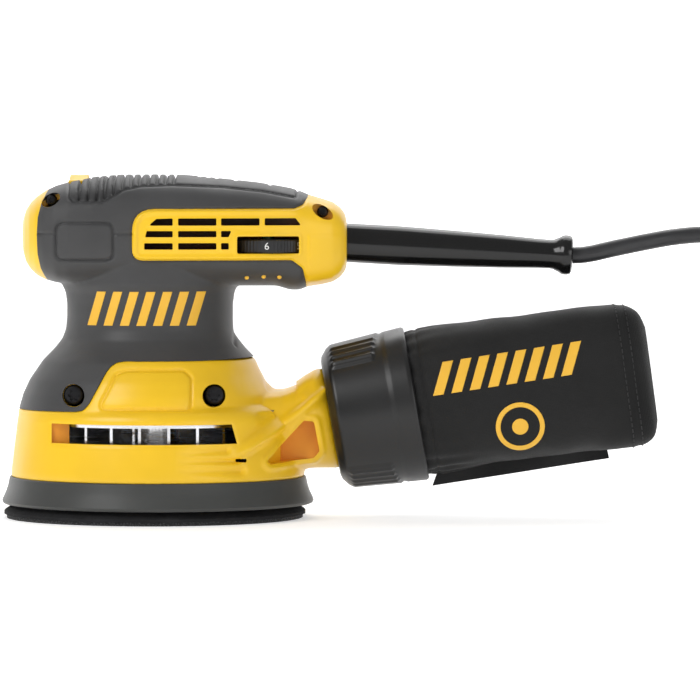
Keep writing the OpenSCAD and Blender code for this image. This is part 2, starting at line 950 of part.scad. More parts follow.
module palm_cover() {
    rib_pitch = 3.5;
    ribs = 11;
    color([0.2, 0.2, 0.21])
    difference() {
        intersection() {
            handle_form(0);
            palm_region();
        }
        handle_form(grip_t);
        rear_shell_region();
        rocker_opening();
        for (i = [0 : ribs - 1])
            translate([34 - handle_front + i * rib_pitch, -30, handle_top - 0.8])
            cube([1.4, 60, 3]);
    }
}

module housing_screws() {
    key_d = 4;
    color([0.2, 0.2, 0.21])
    for (place = housing_screw_places)
        difference() {
            union() {
                across_y(place[0], place[1], screw_d - 2 * push_gap, place[2], screw_tip);
                across_y(place[0], place[1], screw_head_d, place[2] - screw_head_h, place[2]);
            }
            translate([place[0], place[2] - screw_head_h - 1, place[1]])
            rotate([-90, 0, 0])
            cylinder(d = key_d, h = 2.6, $fn = 6);
        }
}

// ---------- Controls ----------

module switch_body() {
    body_w = rocker_w + 4;
    body_l = rocker_l + 3;
    body_h = 16;
    color([0.12, 0.12, 0.13])
    difference() {
        translate([rocker_x - body_l / 2, -body_w / 2, rocker_z - 4 - body_h])
        cube([body_l, body_w, body_h]);
        translate([rocker_x - rocker_l / 2 - loose_gap, -rocker_w / 2 - 1, rocker_z - 7])
        cube([rocker_l + 2 * loose_gap, rocker_w + 2, 8]);
    }
}

module switch_rocker() {
    height = 6;
    peak = 1.2;
    color([0.98, 0.72, 0.05])
    translate([rocker_x, 0, rocker_z])
    rotate([rocker_swing / 2, 0, 0])
    translate([-rocker_l / 2, 0, 0])
    rotate([90, 0, 90])
    linear_extrude(height = rocker_l)
    polygon([
        [-rocker_w / 2, -0.5], [0, -2.4], [rocker_w / 2, -0.5],
        [rocker_w / 2 - 0.6, height - 2], [0, height - 2 - peak], [-rocker_w / 2 + 0.6, height - 2]
    ]);
}

module speed_module() {
    board_t = 1.6;
    board_in = 10.5;
    knob_r = min(7, dial_d / 2 - 8);
    color([0.1, 0.35, 0.2])
    union() {
        translate([dial_x - 14, dial_y - dial_d / 2 + board_in, dial_z - 8]) cube([28, 26, board_t]);
        translate([dial_x, dial_y, dial_z - 7]) cylinder(r = knob_r, h = 6);
        translate([dial_x, dial_y, dial_z - 2]) cylinder(d = dial_post_d, h = dial_h + 3);
    }
}

module speed_dial() {
    notches = 36;
    color([0.1, 0.1, 0.11])
    difference() {
        translate([dial_x, dial_y, dial_z]) cylinder(d = dial_d, h = dial_h);
        translate([dial_x, dial_y, dial_z - 1]) cylinder(d = dial_post_d + 2 * run_gap, h = dial_h + 2);
        for (i = [0 : notches - 1])
            translate([dial_x, dial_y, dial_z])
            rotate(i * 360 / notches)
            translate([dial_d / 2 - 0.5, -0.5, -1])
            cube([2, 1, 2.4]);
    }
}

module terminal_block() {
    color([0.85, 0.85, 0.82])
    difference() {
        translate([handle_rear - 30, 4, handle_z + 5.2]) cube([12, 14, 7]);
        for (y = [8, 14])
            translate([handle_rear - 24, y, handle_z + 7]) cylinder(d = 3, h = 8);
    }
}

// ---------- Cord ----------

module at_relief() {
    translate([exit_x, 0, exit_z])
    rotate([0, 90 + exit_droop, 0])
    children();
}

module strain_relief() {
    tip_d = cord_d + 5;
    flare_d = relief_d;
    color([0.05, 0.05, 0.05])
    at_relief()
    rotate_extrude()
    polygon([
        [cord_r + push_gap, -12], [relief_d / 2, -12], [relief_d / 2, -9],
        [relief_d / 2 + 2.5, -9], [relief_d / 2 + 2.5, -5], [relief_d / 2, -5],
        [relief_d / 2, 22], [tip_d / 2, relief_l - 9], [tip_d / 2, relief_l - 7],
        [flare_d / 2, relief_l - 2], [flare_d / 2, relief_l], [cord_r + push_gap, relief_l]
    ]);
}

module cord_lead() {
    color([0.1, 0.1, 0.11])
    at_relief()
    translate([0, 0, -20]) cylinder(d = cord_d, h = relief_l + 20);
}

module cord_clamp() {
    bar_w = 8;
    color([0.15, 0.15, 0.16])
    at_relief()
    translate([0, 0, -18])
    difference() {
        translate([-cord_r - 2.5, -13, -bar_w / 2 + 1]) cube([3.5, 26, bar_w - 3]);
        translate([0, 0, -bar_w]) cylinder(r = cord_r + push_gap, h = 2 * bar_w);
        for (y = [-9, 9])
            translate([-cord_r - 5, y, -0.5])
            rotate([0, 90, 0])
            cylinder(d = 3.2, h = 10);
    }
}

module clamp_screws() {
    color([0.7, 0.7, 0.72])
    at_relief()
    translate([0, 0, -18])
    for (y = [-9, 9])
        translate([-cord_r - 4.5, y, -0.5])
        rotate([0, 90, 0])
        union() {
            cylinder(d = 5.5, h = 2);
            cylinder(d = 3, h = 10);
        }
}

function unit(v) = v / norm(v);
function tangent(path, i) = unit(path[min(i + 1, len(path) - 1)] - path[max(i - 1, 0)]);
function carried(path, i) = let(
    t = tangent(path, i),
    side = i == 0 ? [0, 1, 0] : carried(path, i - 1)
) unit(side - (side * t) * t);

// A round tube swept along a route
module swept_tube(path, d, sides) {
    rings = [for (i = [0 : len(path) - 1])
        let(t = tangent(path, i), a = carried(path, i), b = cross(t, a))
        [for (k = [0 : sides - 1])
            path[i] + d / 2 * (cos(k * 360 / sides) * a + sin(k * 360 / sides) * b)]];
    last = len(path) - 1;
    points = [for (ring = rings) each ring];
    walls = [for (i = [0 : last - 1]) for (k = [0 : sides - 1])
        [(i + 1) * sides + k, (i + 1) * sides + (k + 1) % sides,
         i * sides + (k + 1) % sides, i * sides + k]];
    near_end = [for (k = [0 : sides - 1]) k];
    far_end = [for (k = [sides - 1 : -1 : 0]) last * sides + k];
    polyhedron(points = points, faces = concat(walls, [near_end, far_end]));
}

module cord_tube() {
    color([0.13, 0.13, 0.14]) swept_tube(cord_route, cord_d, tube_sides);
}

module cord_coil() {
    color([0.13, 0.13, 0.14])
    translate([coil_x, 0, 0])
    rotate_extrude()
    translate([coil_d / 2 - coil_w / 2, 0])
    square([coil_w, coil_h]);
}

module cord_tail() {
    color([0.13, 0.13, 0.14]) swept_tube(tail_route, cord_d, tube_sides);
}

module at_plug() {
    translate(tail_route[len(tail_route) - 1])
    rotate([-90, 0, 0])
    children();
}

module plug_body() {
    color([0.1, 0.1, 0.11])
    at_plug()
    union() {
        cylinder(d1 = cord_d + 2, d2 = 14, h = 14);
        translate([-12, -9, 14]) cube([24, 18, plug_l - 14]);
    }
}

module plug_pins() {
    color([0.8, 0.7, 0.4])
    at_plug()
    for (x = [-6.35, 6.35])
        translate([x - 0.75, -3.2, plug_l])
        cube([1.5, 6.4, 16]);
}

// ---------- Dust bag ----------

module locking_collar() {
    front_r = collar_front_d / 2;
    rear_r = collar_rear_d / 2;
    bore_r = spigot_r + loose_gap;
    wall = 2.6;
    pads = 2;
    color([0.1, 0.1, 0.11])
    at_outlet()
    union() {
        rotate_extrude()
        polygon([
            [bore_r, 0], [front_r - 2.5, 0], [front_r, 2.5], [rear_r - 1.2, collar_l],
            [rear_r - wall - 1.2, collar_l], [front_r - wall, 4], [bore_r, 3.2]
        ]);
        for (turn = [0, 180])
            for (i = [-1.5 : 1 : 1.5])
                rotate(turn + i * 7)
                translate([front_r - 1.5, -0.8, 6])
                rotate([0, 2.5, 0])
                cube([3, 1.6, collar_l - 9]);
    }
}

module bag_neck() {
    front_r = collar_front_d / 2 - 2.6 - loose_gap;
    bore_r = spigot_r + loose_gap;
    color([0.12, 0.12, 0.13])
    at_outlet()
    rotate_extrude()
    polygon([
        [bore_r, 4.6], [front_r - 1, 4.6], [front_r - 1, collar_l + 0.6],
        [front_r + 1.6, collar_l + 0.6], [front_r + 1.6, collar_l + 3], [bore_r, collar_l + 3]
    ]);
}

module bag_fabric() {
    far_x = outlet_x + collar_l + bag_l;
    far_z = outlet_z + 18.5;
    end_lean = 7;
    color([0.08, 0.08, 0.09])
    hull() {
        at_outlet()
        translate([0, 0, collar_l + 3.05]) cylinder(r = collar_rear_d / 2 - 2.2, h = 3, $fn = 32);
        for (y = [-1, 1])
            for (end = [-1, 1])
                translate([
                    far_x - bag_round - 4 - end * end_lean / 2,
                    y * (bag_end_w / 2 - bag_round),
                    far_z + end * (bag_end_h / 2 - bag_round)
                ])
                sphere(r = bag_round, $fn = 24);
    }
}

module bag_closure() {
    start_x = outlet_x + 44;
    strip_l = 71;
    strip_t = 3;
    color([0.06, 0.06, 0.07])
    rotate([90, 0, 0])
    linear_extrude(height = strip_t, center = true)
    polygon([
        [start_x, outlet_z - 29.5], [start_x + strip_l, outlet_z - 17.5],
        [start_x + strip_l, outlet_z - 11], [start_x, outlet_z - 20]
    ]);
}

// ---------- Drawing ----------

hook_face();
pad_foam();
backing_plate();
pad_spindle();
pad_screws();
pad_bearing();
balance_weight();
fan();
motor_shaft();
armature_core();
armature_windings();
commutator();
lower_bearing();
upper_bearing();
bearing_bracket();
stator_core();
field_coils();
brush_holders();
carbon_brushes();
brush_springs();
skirt();
shroud();
housing_left();
housing_right();
grip_left();
grip_right();
palm_cover();
switch_body();
switch_rocker();
speed_module();
speed_dial();
terminal_block();
cord_clamp();
clamp_screws();
housing_screws();
outlet_seal();
bag_neck();
bag_fabric();
bag_closure();
locking_collar();
strain_relief();
cord_lead();
cord_tube();
cord_coil();
cord_tail();
plug_body();
plug_pins();
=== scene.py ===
"""A palm-grip random orbit sander with a dust bag and a mains lead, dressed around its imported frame."""

import logging
import math
from dataclasses import dataclass, field
from enum import Enum
from typing import Iterable, Optional, Sequence

import bmesh
import bpy
import numpy as np
from mathutils import Matrix, Vector


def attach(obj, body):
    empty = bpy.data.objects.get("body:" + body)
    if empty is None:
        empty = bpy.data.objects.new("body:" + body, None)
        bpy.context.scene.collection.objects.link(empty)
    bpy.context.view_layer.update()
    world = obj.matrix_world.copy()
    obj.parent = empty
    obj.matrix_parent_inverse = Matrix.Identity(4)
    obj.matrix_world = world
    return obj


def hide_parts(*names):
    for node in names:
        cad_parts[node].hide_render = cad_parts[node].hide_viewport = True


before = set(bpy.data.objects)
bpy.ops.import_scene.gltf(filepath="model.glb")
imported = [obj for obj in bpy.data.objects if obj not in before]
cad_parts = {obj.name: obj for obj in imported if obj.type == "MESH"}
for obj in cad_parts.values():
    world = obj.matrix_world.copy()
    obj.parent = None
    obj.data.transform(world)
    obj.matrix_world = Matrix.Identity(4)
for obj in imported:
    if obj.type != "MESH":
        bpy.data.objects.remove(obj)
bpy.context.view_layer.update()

log = logging.getLogger("sander")
logging.basicConfig(level=logging.INFO, format="%(name)s: %(message)s")

MM = 0.001
INK_T = 0.12
Point2 = tuple[float, float]


# ---------------------------------------------------------------- shading


class Tree:
    """A material's node tree, with short calls to add and join nodes."""

    def __init__(self, name: str) -> None:
        """Start an empty principled material called name."""
        self.material = bpy.data.materials.new(name)
        self.material.use_nodes = True
        self.nodes = self.material.node_tree.nodes
        self.links = self.material.node_tree.links
        self.shader = self.nodes["Principled BSDF"]

    def add(self, kind: str, **settings: object) -> bpy.types.Node:
        """Add a node.

        Args:
            kind: the node's type, without the leading ShaderNode.
            **settings: attributes, or input sockets where the name is one.

        Returns:
            The new node.
        """
        node = self.nodes.new("ShaderNode" + kind)
        for name, value in settings.items():
            socket = name.replace("_", " ")
            match = next((s for s in node.inputs if s.name.lower() == socket.lower()), None)
            if hasattr(node, name) and match is None:
                setattr(node, name, value)
            elif match is not None:
                match.default_value = value
            else:
                setattr(node, name, value)
        return node

    def join(self, source: object, target: object) -> None:
        """Link two sockets."""
        self.links.new(source, target)

    def set(self, values: dict[str, object]) -> None:
        """Set inputs of the shader by name."""
        for name, value in values.items():
            self.shader.inputs[name].default_value = value

    def drive(self, name: str, value: object) -> None:
        """Lead a socket into an input of the shader."""
        self.join(value, self.shader.inputs[name])

    def place(self, scale: Sequence[float] = (1, 1, 1)) -> object:
        """Return object coordinates, scaled, as a vector socket."""
        coordinates = self.add("TexCoord")
        mapping = self.add("Mapping")
        mapping.inputs["Scale"].default_value = scale
        self.join(coordinates.outputs["Object"], mapping.inputs["Vector"])
        return mapping.outputs["Vector"]

    def noise(self, scale: float, detail: float = 3, where: Optional[object] = None) -> object:
        """Return a noise value in object space with features 1/scale metres wide."""
        node = self.add("TexNoise", Scale=scale, Detail=detail, Roughness=0.55)
        self.join(where or self.place(), node.inputs["Vector"])
        return node.outputs["Fac"]

    def ramp(self, value: object, low: float, high: float, out_low: float, out_high: float) -> object:
        """Return value moved from one range of numbers to another, clamped."""
        node = self.add("MapRange")
        node.clamp = True
        for name, number in zip(("From Min", "From Max", "To Min", "To Max"), (low, high, out_low, out_high)):
            node.inputs[name].default_value = number
        self.join(value, node.inputs["Value"])
        return node.outputs["Result"]

    def blend(self, amount: object, first: Sequence[float], second: Sequence[float]) -> object:
        """Return a colour between two, by an amount socket."""
        node = self.add("Mix", data_type="RGBA")
        node.inputs[6].default_value = (*first, 1)
        node.inputs[7].default_value = (*second, 1)
        self.join(amount, node.inputs[0])
        return node.outputs[2]

    def math(self, operation: str, first: object, second: object) -> object:
        """Return a value made from two values or sockets."""
        node = self.add("Math", operation=operation)
        for place, value in enumerate((first, second)):
            if isinstance(value, (int, float)):
                node.inputs[place].default_value = value
            else:
                self.join(value, node.inputs[place])
        return node.outputs[0]

    def bump(self, height: object, depth: float, strength: float = 1.0) -> None:
        """Add a bump of a real depth in metres, on top of any bump already there."""
        node = self.add("Bump", Strength=strength, Distance=depth)
        self.join(height, node.inputs["Height"])
        earlier = self.shader.inputs["Normal"].links
        if earlier:
            self.join(earlier[0].from_socket, node.inputs["Normal"])
        self.join(node.outputs["Normal"], self.shader.inputs["Normal"])


def shade(linear: Sequence[float], by: float) -> tuple[float, float, float]:
    """Return a colour made lighter or darker by a factor."""
    return tuple(min(1.0, channel * by) for channel in linear)


@dataclass(frozen=True)
class Finish:
    """What every finish has: a name, a colour and a roughness."""

    name: str
    colour: tuple[float, float, float]
    roughness: float = 0.5

    def tree(self) -> Tree:
        """Return the material's tree with its plain sockets set."""
        tree = Tree(self.name)
        tree.set({"Base Color": (*self.colour, 1), "Roughness": self.roughness})
        return tree

    def mottle(self, tree: Tree, scale: float, amount: float) -> None:
        """Vary the colour a little over the surface."""
        value = tree.ramp(tree.noise(scale), 0.3, 0.7, 0, 1)
        tree.drive(
            "Base Color",
            tree.blend(value, shade(self.colour, 1 - amount), shade(self.colour, 1 + amount)),
        )

    def rough_patches(self, tree: Tree, scale: float, spread: float) -> None:
        """Vary the roughness a little over the surface."""
        value = tree.ramp(tree.noise(scale, 5), 0.3, 0.7, self.roughness - spread, self.roughness + spread)
        tree.drive("Roughness", value)


@dataclass(frozen=True)
class MouldedPlastic(Finish):
    """Hard plastic with a fine spark-eroded grain."""

    grain: float = 2600
    grain_depth: float = 0.00003
    specular: float = 0.5

    def build(self) -> bpy.types.Material:
        """Return the material."""
        tree = self.tree()
        tree.set({"Specular IOR Level": self.specular})
        self.mottle(tree, 35, 0.035)
        self.rough_patches(tree, 60, 0.05)
        tree.bump(tree.noise(self.grain, 2), self.grain_depth, 0.35)
        return tree.material


@dataclass(frozen=True)
class SoftRubber(Finish):
    """Soft overmoulded rubber: matt, with a fine stipple and handling marks."""

    grain: float = 1800
    grain_depth: float = 0.00005

    def build(self) -> bpy.types.Material:
        """Return the material."""
        tree = self.tree()
        tree.set({"Specular IOR Level": 0.35, "Sheen Weight": 0.08, "Sheen Roughness": 0.5})
        self.mottle(tree, 50, 0.08)
        self.rough_patches(tree, 45, 0.07)
        tree.bump(tree.noise(self.grain, 3), self.grain_depth, 0.4)
        return tree.material


@dataclass(frozen=True)
class Metal(Finish):
    """Ground, cast or stamped metal with fine scratches along one axis."""

    brushed: tuple[float, float, float] = (40, 40, 900)
    depth: float = 0.00002

    def build(self) -> bpy.types.Material:
        """Return the material."""
        tree = self.tree()
        tree.set({"Metallic": 1.0})
        scratches = tree.noise(1.0, 4, tree.place(self.brushed))
        self.mottle(tree, 80, 0.08)
        tree.drive(
            "Roughness",
            tree.ramp(scratches, 0.3, 0.7, self.roughness - 0.08, self.roughness + 0.1),
        )
        tree.bump(scratches, self.depth, 0.4)
        return tree.material


@dataclass(frozen=True)
class Foam(Finish):
    """Closed-cell foam with a visible cell pattern."""

    cell: float = 900

    def build(self) -> bpy.types.Material:
        """Return the material."""
        tree = self.tree()
        cells = tree.add("TexVoronoi", Scale=self.cell)
        tree.join(tree.place(), cells.inputs["Vector"])
        self.mottle(tree, 120, 0.25)
        tree.set({"Specular IOR Level": 0.2})
        tree.bump(cells.outputs["Distance"], 0.0002, 0.7)
        return tree.material


@dataclass(frozen=True)
class WovenCloth(Finish):
    """Coated plain-weave cloth that follows the piece's UV map, in metres."""

    thread: float = 0.0007

    def build(self) -> bpy.types.Material:
        """Return the material."""
        tree = self.tree()
        uv = tree.add("UVMap", uv_map="cloth")
        split = tree.add("SeparateXYZ")
        tree.join(uv.outputs["UV"], split.inputs["Vector"])
        turns = math.pi / self.thread
        waves = [
            tree.math("ABSOLUTE", tree.math("SINE", tree.math("MULTIPLY", split.outputs[axis], turns), 0), 0)
            for axis in (0, 1)
        ]
        weave = tree.math("MAXIMUM", waves[0], waves[1])
        fuzz = tree.noise(2200, 4)
        height = tree.math("ADD", weave, tree.math("MULTIPLY", fuzz, 0.5))
        dust = tree.ramp(tree.noise(28, 6), 0.42, 0.75, 0, 1)
        tree.drive(
            "Base Color",
            tree.blend(
                tree.math("ADD", tree.math("MULTIPLY", weave, 0.5), tree.math("MULTIPLY", dust, 0.3)),
                shade(self.colour, 0.6),
                shade(self.colour, 1.7),
            ),
        )
        tree.set({"Sheen Weight": 0.03, "Sheen Roughness": 0.45, "Specular IOR Level": 0.3})
        self.rough_patches(tree, 40, 0.06)
        tree.bump(height, 0.00018, 0.5)
        return tree.material


@dataclass(frozen=True)
class HookPile(Finish):
    """The short stiff pile of a hook-and-loop face."""

    def build(self) -> bpy.types.Material:
        """Return the material."""
        tree = self.tree()
        hooks = tree.add("TexVoronoi", Scale=1100)
        tree.join(tree.place(), hooks.inputs["Vector"])
        value = tree.ramp(hooks.outputs["Distance"], 0.1, 0.6, 1, 0)
        tree.drive("Base Color", tree.blend(value, shade(self.colour, 0.35), shade(self.colour, 1.5)))
        tree.bump(value, 0.0006, 0.9)
        return tree.material


@dataclass(frozen=True)
class WoundWire(Finish):
    """Enamelled copper wire laid side by side."""

    pitch: float = 0.0006

    def build(self) -> bpy.types.Material:
        """Return the material."""
        tree = self.tree()
        tree.set({"Metallic": 0.85, "Coat Weight": 0.5})
        split = tree.add("SeparateXYZ")
        tree.join(tree.place(), split.inputs["Vector"])
        wave = tree.math("SINE", tree.math("MULTIPLY", split.outputs[0], 2 * math.pi / self.pitch), 0)
        self.mottle(tree, 200, 0.2)
        tree.bump(wave, 0.0002, 0.8)
        return tree.material


@dataclass(frozen=True)
class Stack(Finish):
    """Thin steel plates stacked along Z."""

    plate: float = 0.0006

    def build(self) -> bpy.types.Material:
        """Return the material."""
        tree = self.tree()
        tree.set({"Metallic": 1.0})
        split = tree.add("SeparateXYZ")
        tree.join(tree.place(), split.inputs["Vector"])
        wave = tree.math("SINE", tree.math("MULTIPLY", split.outputs[2], 2 * math.pi / self.plate), 0)
        value = tree.ramp(wave, -1, 1, 0, 1)
        tree.drive("Base Color", tree.blend(value, shade(self.colour, 0.4), shade(self.colour, 1.2)))
        tree.bump(wave, 0.00015, 0.7)
        return tree.material


@dataclass(frozen=True)
class CordJacket(Finish):
    """Smooth extruded jacket with faint draw marks and scuffs."""

    def build(self) -> bpy.types.Material:
        """Return the material."""
        tree = self.tree()
        tree.set({"Specular IOR Level": 0.45})
        self.mottle(tree, 90, 0.15)
        self.rough_patches(tree, 130, 0.1)
        tree.bump(tree.noise(700, 4), 0.00004, 0.35)
        return tree.material


class Looks(Enum):
    """Every finish on the tool."""

    YELLOW = MouldedPlastic("yellow_shell", (0.92, 0.565, 0.014), 0.34)
    # Painted shade: a darker, redder copy of the yellow shell, standing in for shadow deep in the gusset
    # pocket and behind the window.
    YELLOW_DEEP = MouldedPlastic("yellow_painted_shade", (0.78, 0.30, 0.010), 0.45)
    GRIP = SoftRubber("soft_grip", (0.053, 0.053, 0.054), 0.5)
    # Painted shade: a darker copy of the grip rubber, standing in for shade on the handle's top.
    PALM = SoftRubber("palm_rubber_painted_shade", (0.032, 0.032, 0.033), 0.52)
    BLACK = MouldedPlastic("black_plastic", (0.014, 0.014, 0.015), 0.4)
    COLLAR = MouldedPlastic("collar_plastic", (0.01, 0.01, 0.0102), 0.36)
    SKIRT = SoftRubber("skirt_rubber", (0.05, 0.052, 0.05), 0.44)
    FOAM = Foam("pad_foam_cells", (0.018, 0.018, 0.019), 0.85)
    HOOK = HookPile("hook_pile", (0.06, 0.06, 0.062), 0.8)
    STEEL = Metal("ground_steel", (0.6, 0.6, 0.62), 0.28)
    CAST = Metal("cast_zinc", (0.4, 0.4, 0.42), 0.5)
    FAN = Metal("bright_fan", (0.85, 0.86, 0.88), 0.22)
    PLATES = Stack("motor_plates", (0.4, 0.4, 0.42), 0.4)
    COPPER = WoundWire("enamelled_wire", (0.7, 0.25, 0.09), 0.35)
    BRASS = Metal("stamped_brass", (0.75, 0.55, 0.2), 0.3)
    CARBON = MouldedPlastic("carbon_block", (0.02, 0.02, 0.022), 0.6)
    BOARD = MouldedPlastic("circuit_board", (0.02, 0.12, 0.05), 0.35)
    WHITE = MouldedPlastic("terminal_plastic", (0.6, 0.6, 0.56), 0.45)
    SCREW = Metal("black_screw", (0.03, 0.03, 0.032), 0.38)
    RELIEF = MouldedPlastic("relief_rubber", (0.005, 0.005, 0.005), 0.16, 900, 0.00001)
    JACKET = CordJacket("cord_jacket", (0.03, 0.03, 0.032), 0.42)
    CLOTH = WovenCloth("bag_cloth", (0.0085, 0.0085, 0.0085), 0.7)
    EDGE = SoftRubber("bag_edge", (0.006, 0.006, 0.0065), 0.7)
    THREAD = SoftRubber("bag_thread", (0.022, 0.022, 0.022), 0.6)
    SEAL = SoftRubber("seal_rubber", (0.02, 0.02, 0.02), 0.5)
    # Painted shade: dark reddish brown standing in for the yellow shell in shadow behind the vent slots.
    GUIDE = MouldedPlastic("slot_painted_shade", (0.03, 0.012, 0.008), 0.6)
    PRINT = MouldedPlastic("yellow_print", (0.9, 0.5, 0.04), 0.5)
    PRINT_WHITE = MouldedPlastic("white_print", (0.8, 0.8, 0.78), 0.5)


class Wardrobe:
    """Builds each finish once, when it is first asked for."""

    def __init__(self) -> None:
        """Start with no material built."""
        self.made: dict[Looks, bpy.types.Material] = {}

    def __getitem__(self, look: Looks) -> bpy.types.Material:
        """Return the material of a look."""
        if look not in self.made:
            self.made[look] = look.value.build()
        return self.made[look]


WARDROBE = Wardrobe()


# ---------------------------------------------------------------- mesh tools


def linked(name: str, data: bpy.types.ID) -> bpy.types.Object:
    """Return a new object that shows some data, linked into the scene."""
    made = bpy.data.objects.new(name, data)
    bpy.context.scene.collection.objects.link(made)
    return made


def new_object(name: str, mesh: bmesh.types.BMesh, smooth: bool = True) -> bpy.types.Object:
    """Turn a bmesh into an object at the origin.

    Args:
        name: the piece's name.
        mesh: the finished bmesh, which is freed.
        smooth: whether the faces are shaded smooth, with sharp edges kept.

    Returns:
        The linked object.
    """
    bmesh.ops.recalc_face_normals(mesh, faces=mesh.faces)
    for one in mesh.faces:
        one.smooth = smooth
    data = bpy.data.meshes.new(name)
    mesh.to_mesh(data)
    mesh.free()
    piece = linked(name, data)
    if smooth:
        data.set_sharp_from_angle(angle=math.radians(32))
    return piece


def finish_piece(
    piece: bpy.types.Object, look: Looks, body: str, replaced: Iterable[str] = ()
) -> bpy.types.Object:
    """Dress a piece, seat it on its body and hide the CAD nodes that it stands for.

    Args:
        piece: the object.
        look: its finish.
        body: the CAD body that it rides on.
        replaced: CAD nodes that it stands for.

    Returns:
        The piece.
    """
    piece.data.materials.clear()
    piece.data.materials.append(WARDROBE[look])
    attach(piece, body)
    names = list(replaced)
    if names:
        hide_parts(*names)
    log.info("%s on %s, %d faces", piece.name, body, len(getattr(piece.data, "polygons", [])))
    return piece


def apply_modifiers(piece: bpy.types.Object) -> None:
    """Bake every modifier of a piece into its mesh."""
    graph = bpy.context.evaluated_depsgraph_get()
    done = bpy.data.meshes.new_from_object(piece.evaluated_get(graph), depsgraph=graph)
    piece.modifiers.clear()
    old = piece.data
    piece.data = done
    bpy.data.meshes.remove(old)


def remove_piece(piece: bpy.types.Object) -> None:
    """Delete a working shape."""
    bpy.data.objects.remove(piece, do_unlink=True)


def combine(
    piece: bpy.types.Object, cutter: bpy.types.Object, operation: str, keep: bool = False
) -> bpy.types.Object:
    """Join, cut or intersect a closed piece with another.

    Args:
        piece: the piece that changes.
        cutter: the other closed shape.
        operation: UNION, DIFFERENCE or INTERSECT.
        keep: whether the cutter stays for another use.

    Returns:
        The changed piece.
    """
    modifier = piece.modifiers.new("join", "BOOLEAN")
    modifier.operation = operation
    modifier.object = cutter
    modifier.solver = "MANIFOLD"
    apply_modifiers(piece)
    if not keep:
        remove_piece(cutter)
    return piece


def copy_of(piece: bpy.types.Object, name: str) -> bpy.types.Object:
    """Return a separate copy of a working shape."""
    return linked(name, piece.data.copy())


def united(shapes: Iterable[bpy.types.Object]) -> bpy.types.Object:
    """Return the first of several closed shapes, with all the others joined to it."""
    rest = iter(shapes)
    whole = next(rest)
    for one in rest:
        combine(whole, one, "UNION")
    return whole


def placing(at: Sequence[float], degrees: float, axis: str) -> Matrix:
    """Return the matrix that turns about an axis and then moves to a place in millimetres."""
    return Matrix.Translation(Vector(at) * MM) @ Matrix.Rotation(math.radians(degrees), 4, axis)


def lathe(
    name: str, profile: Sequence[Point2], steps: int = 96, centre: Sequence[float] = (0, 0, 0)
) -> bpy.types.Object:
    """Spin a closed profile of (radius, height) in millimetres about Z.

    Args:
        name: the object's name.
        profile: the corners in order, touching the axis or standing off it.
        steps: steps round the turn.
        centre: where the axis meets height zero, in millimetres.

    Returns:
        A closed shape.
    """
    mesh = bmesh.new()
    corners = [mesh.verts.new((r * MM, 0, z * MM)) for r, z in profile]
    on_axis = profile[0][0] == 0 and profile[-1][0] == 0
    edges = [mesh.edges.new(pair) for pair in zip(corners, corners[1:])]
    if not on_axis:
        edges.append(mesh.edges.new((corners[-1], corners[0])))
    bmesh.ops.spin(
        mesh, geom=corners + edges, cent=(0, 0, 0), axis=(0, 0, 1), angle=2 * math.pi,
        steps=steps, use_merge=True,
    )
    bmesh.ops.remove_doubles(mesh, verts=mesh.verts, dist=1e-6)
    bmesh.ops.translate(mesh, verts=mesh.verts, vec=Vector(centre) * MM)
    return new_object(name, mesh)


def prism(name: str, outline: Sequence[Point2], low: float, high: float) -> bpy.types.Object:
    """Extrude a side-view outline of (x, z) across the tool.

    Args:
        name: the object's name.
        outline: the corners in millimetres, in order.
        low: the y where it starts, in millimetres.
        high: the y where it ends.

    Returns:
        A closed shape.
    """
    mesh = bmesh.new()
    face = mesh.faces.new([mesh.verts.new((x * MM, low * MM, z * MM)) for x, z in outline])
    grown = bmesh.ops.extrude_face_region(mesh, geom=[face])
    moved = [v for v in grown["geom"] if isinstance(v, bmesh.types.BMVert)]
    bmesh.ops.translate(mesh, verts=moved, vec=(0, (high - low) * MM, 0))
    bmesh.ops.triangulate(mesh, faces=[f for f in mesh.faces if len(f.verts) > 4])
    return new_object(name, mesh, smooth=False)


def rounded(corners: Sequence[Point2], radius: float | Sequence[float], steps: int = 6) -> list[Point2]:
    """Round the corners of an outline with arcs.

    Args:
        corners: the outline's corners, in order.
        radius: one radius, or one for each corner.
        steps: segments in each arc.

    Returns:
        The outline's points.
    """
    points: list[Point2] = []
    count = len(corners)
    radii = [radius] * count if isinstance(radius, (int, float)) else list(radius)
    for i, corner in enumerate(corners):
        here = Vector(corner)
        before = Vector(corners[i - 1]) - here
        after = Vector(corners[(i + 1) % count]) - here
        angle = before.angle(after)
        reach = min(radii[i] / math.tan(angle / 2), 0.48 * before.length, 0.48 * after.length)
        if reach < 1e-6:
            points.append((here.x, here.y))
            continue
        start = here + before.normalized() * reach
        end = here + after.normalized() * reach
        for k in range(steps + 1):
            t = k / steps
            point = (1 - t) ** 2 * start + 2 * t * (1 - t) * here + t**2 * end
            points.append((point.x, point.y))
    return points


def loft(name: str, rings: Sequence[Sequence[Vector]]) -> bpy.types.Object:
    """Bridge a row of rings with the same number of points and close both ends.

    Args:
        name: the object's name.
        rings: the rings, in metres.

    Returns:
        A closed shape.
    """
    mesh = bmesh.new()
    loops = []
    for ring in rings:
        made = bmesh.ops.create_circle(mesh, cap_ends=False, radius=1, segments=len(ring))["verts"]
        for vert, place in zip(made, ring):
            vert.co = place
        loops.append(made)
    for first, second in zip(loops, loops[1:]):
        bmesh.ops.bridge_loops(mesh, edges=ring_edges(first) + ring_edges(second))
    for loop in (loops[0], loops[-1]):
        mesh.faces.new(loop)
    return new_object(name, mesh)


def ring_edges(verts: Sequence[bmesh.types.BMVert]) -> list[bmesh.types.BMEdge]:
    """Return the edges that join neighbours in a ring of vertices."""
    members = set(verts)
    found = {e for v in verts for e in v.link_edges if e.other_vert(v) in members}
    return [e for e in found if len(e.link_faces) < 2]


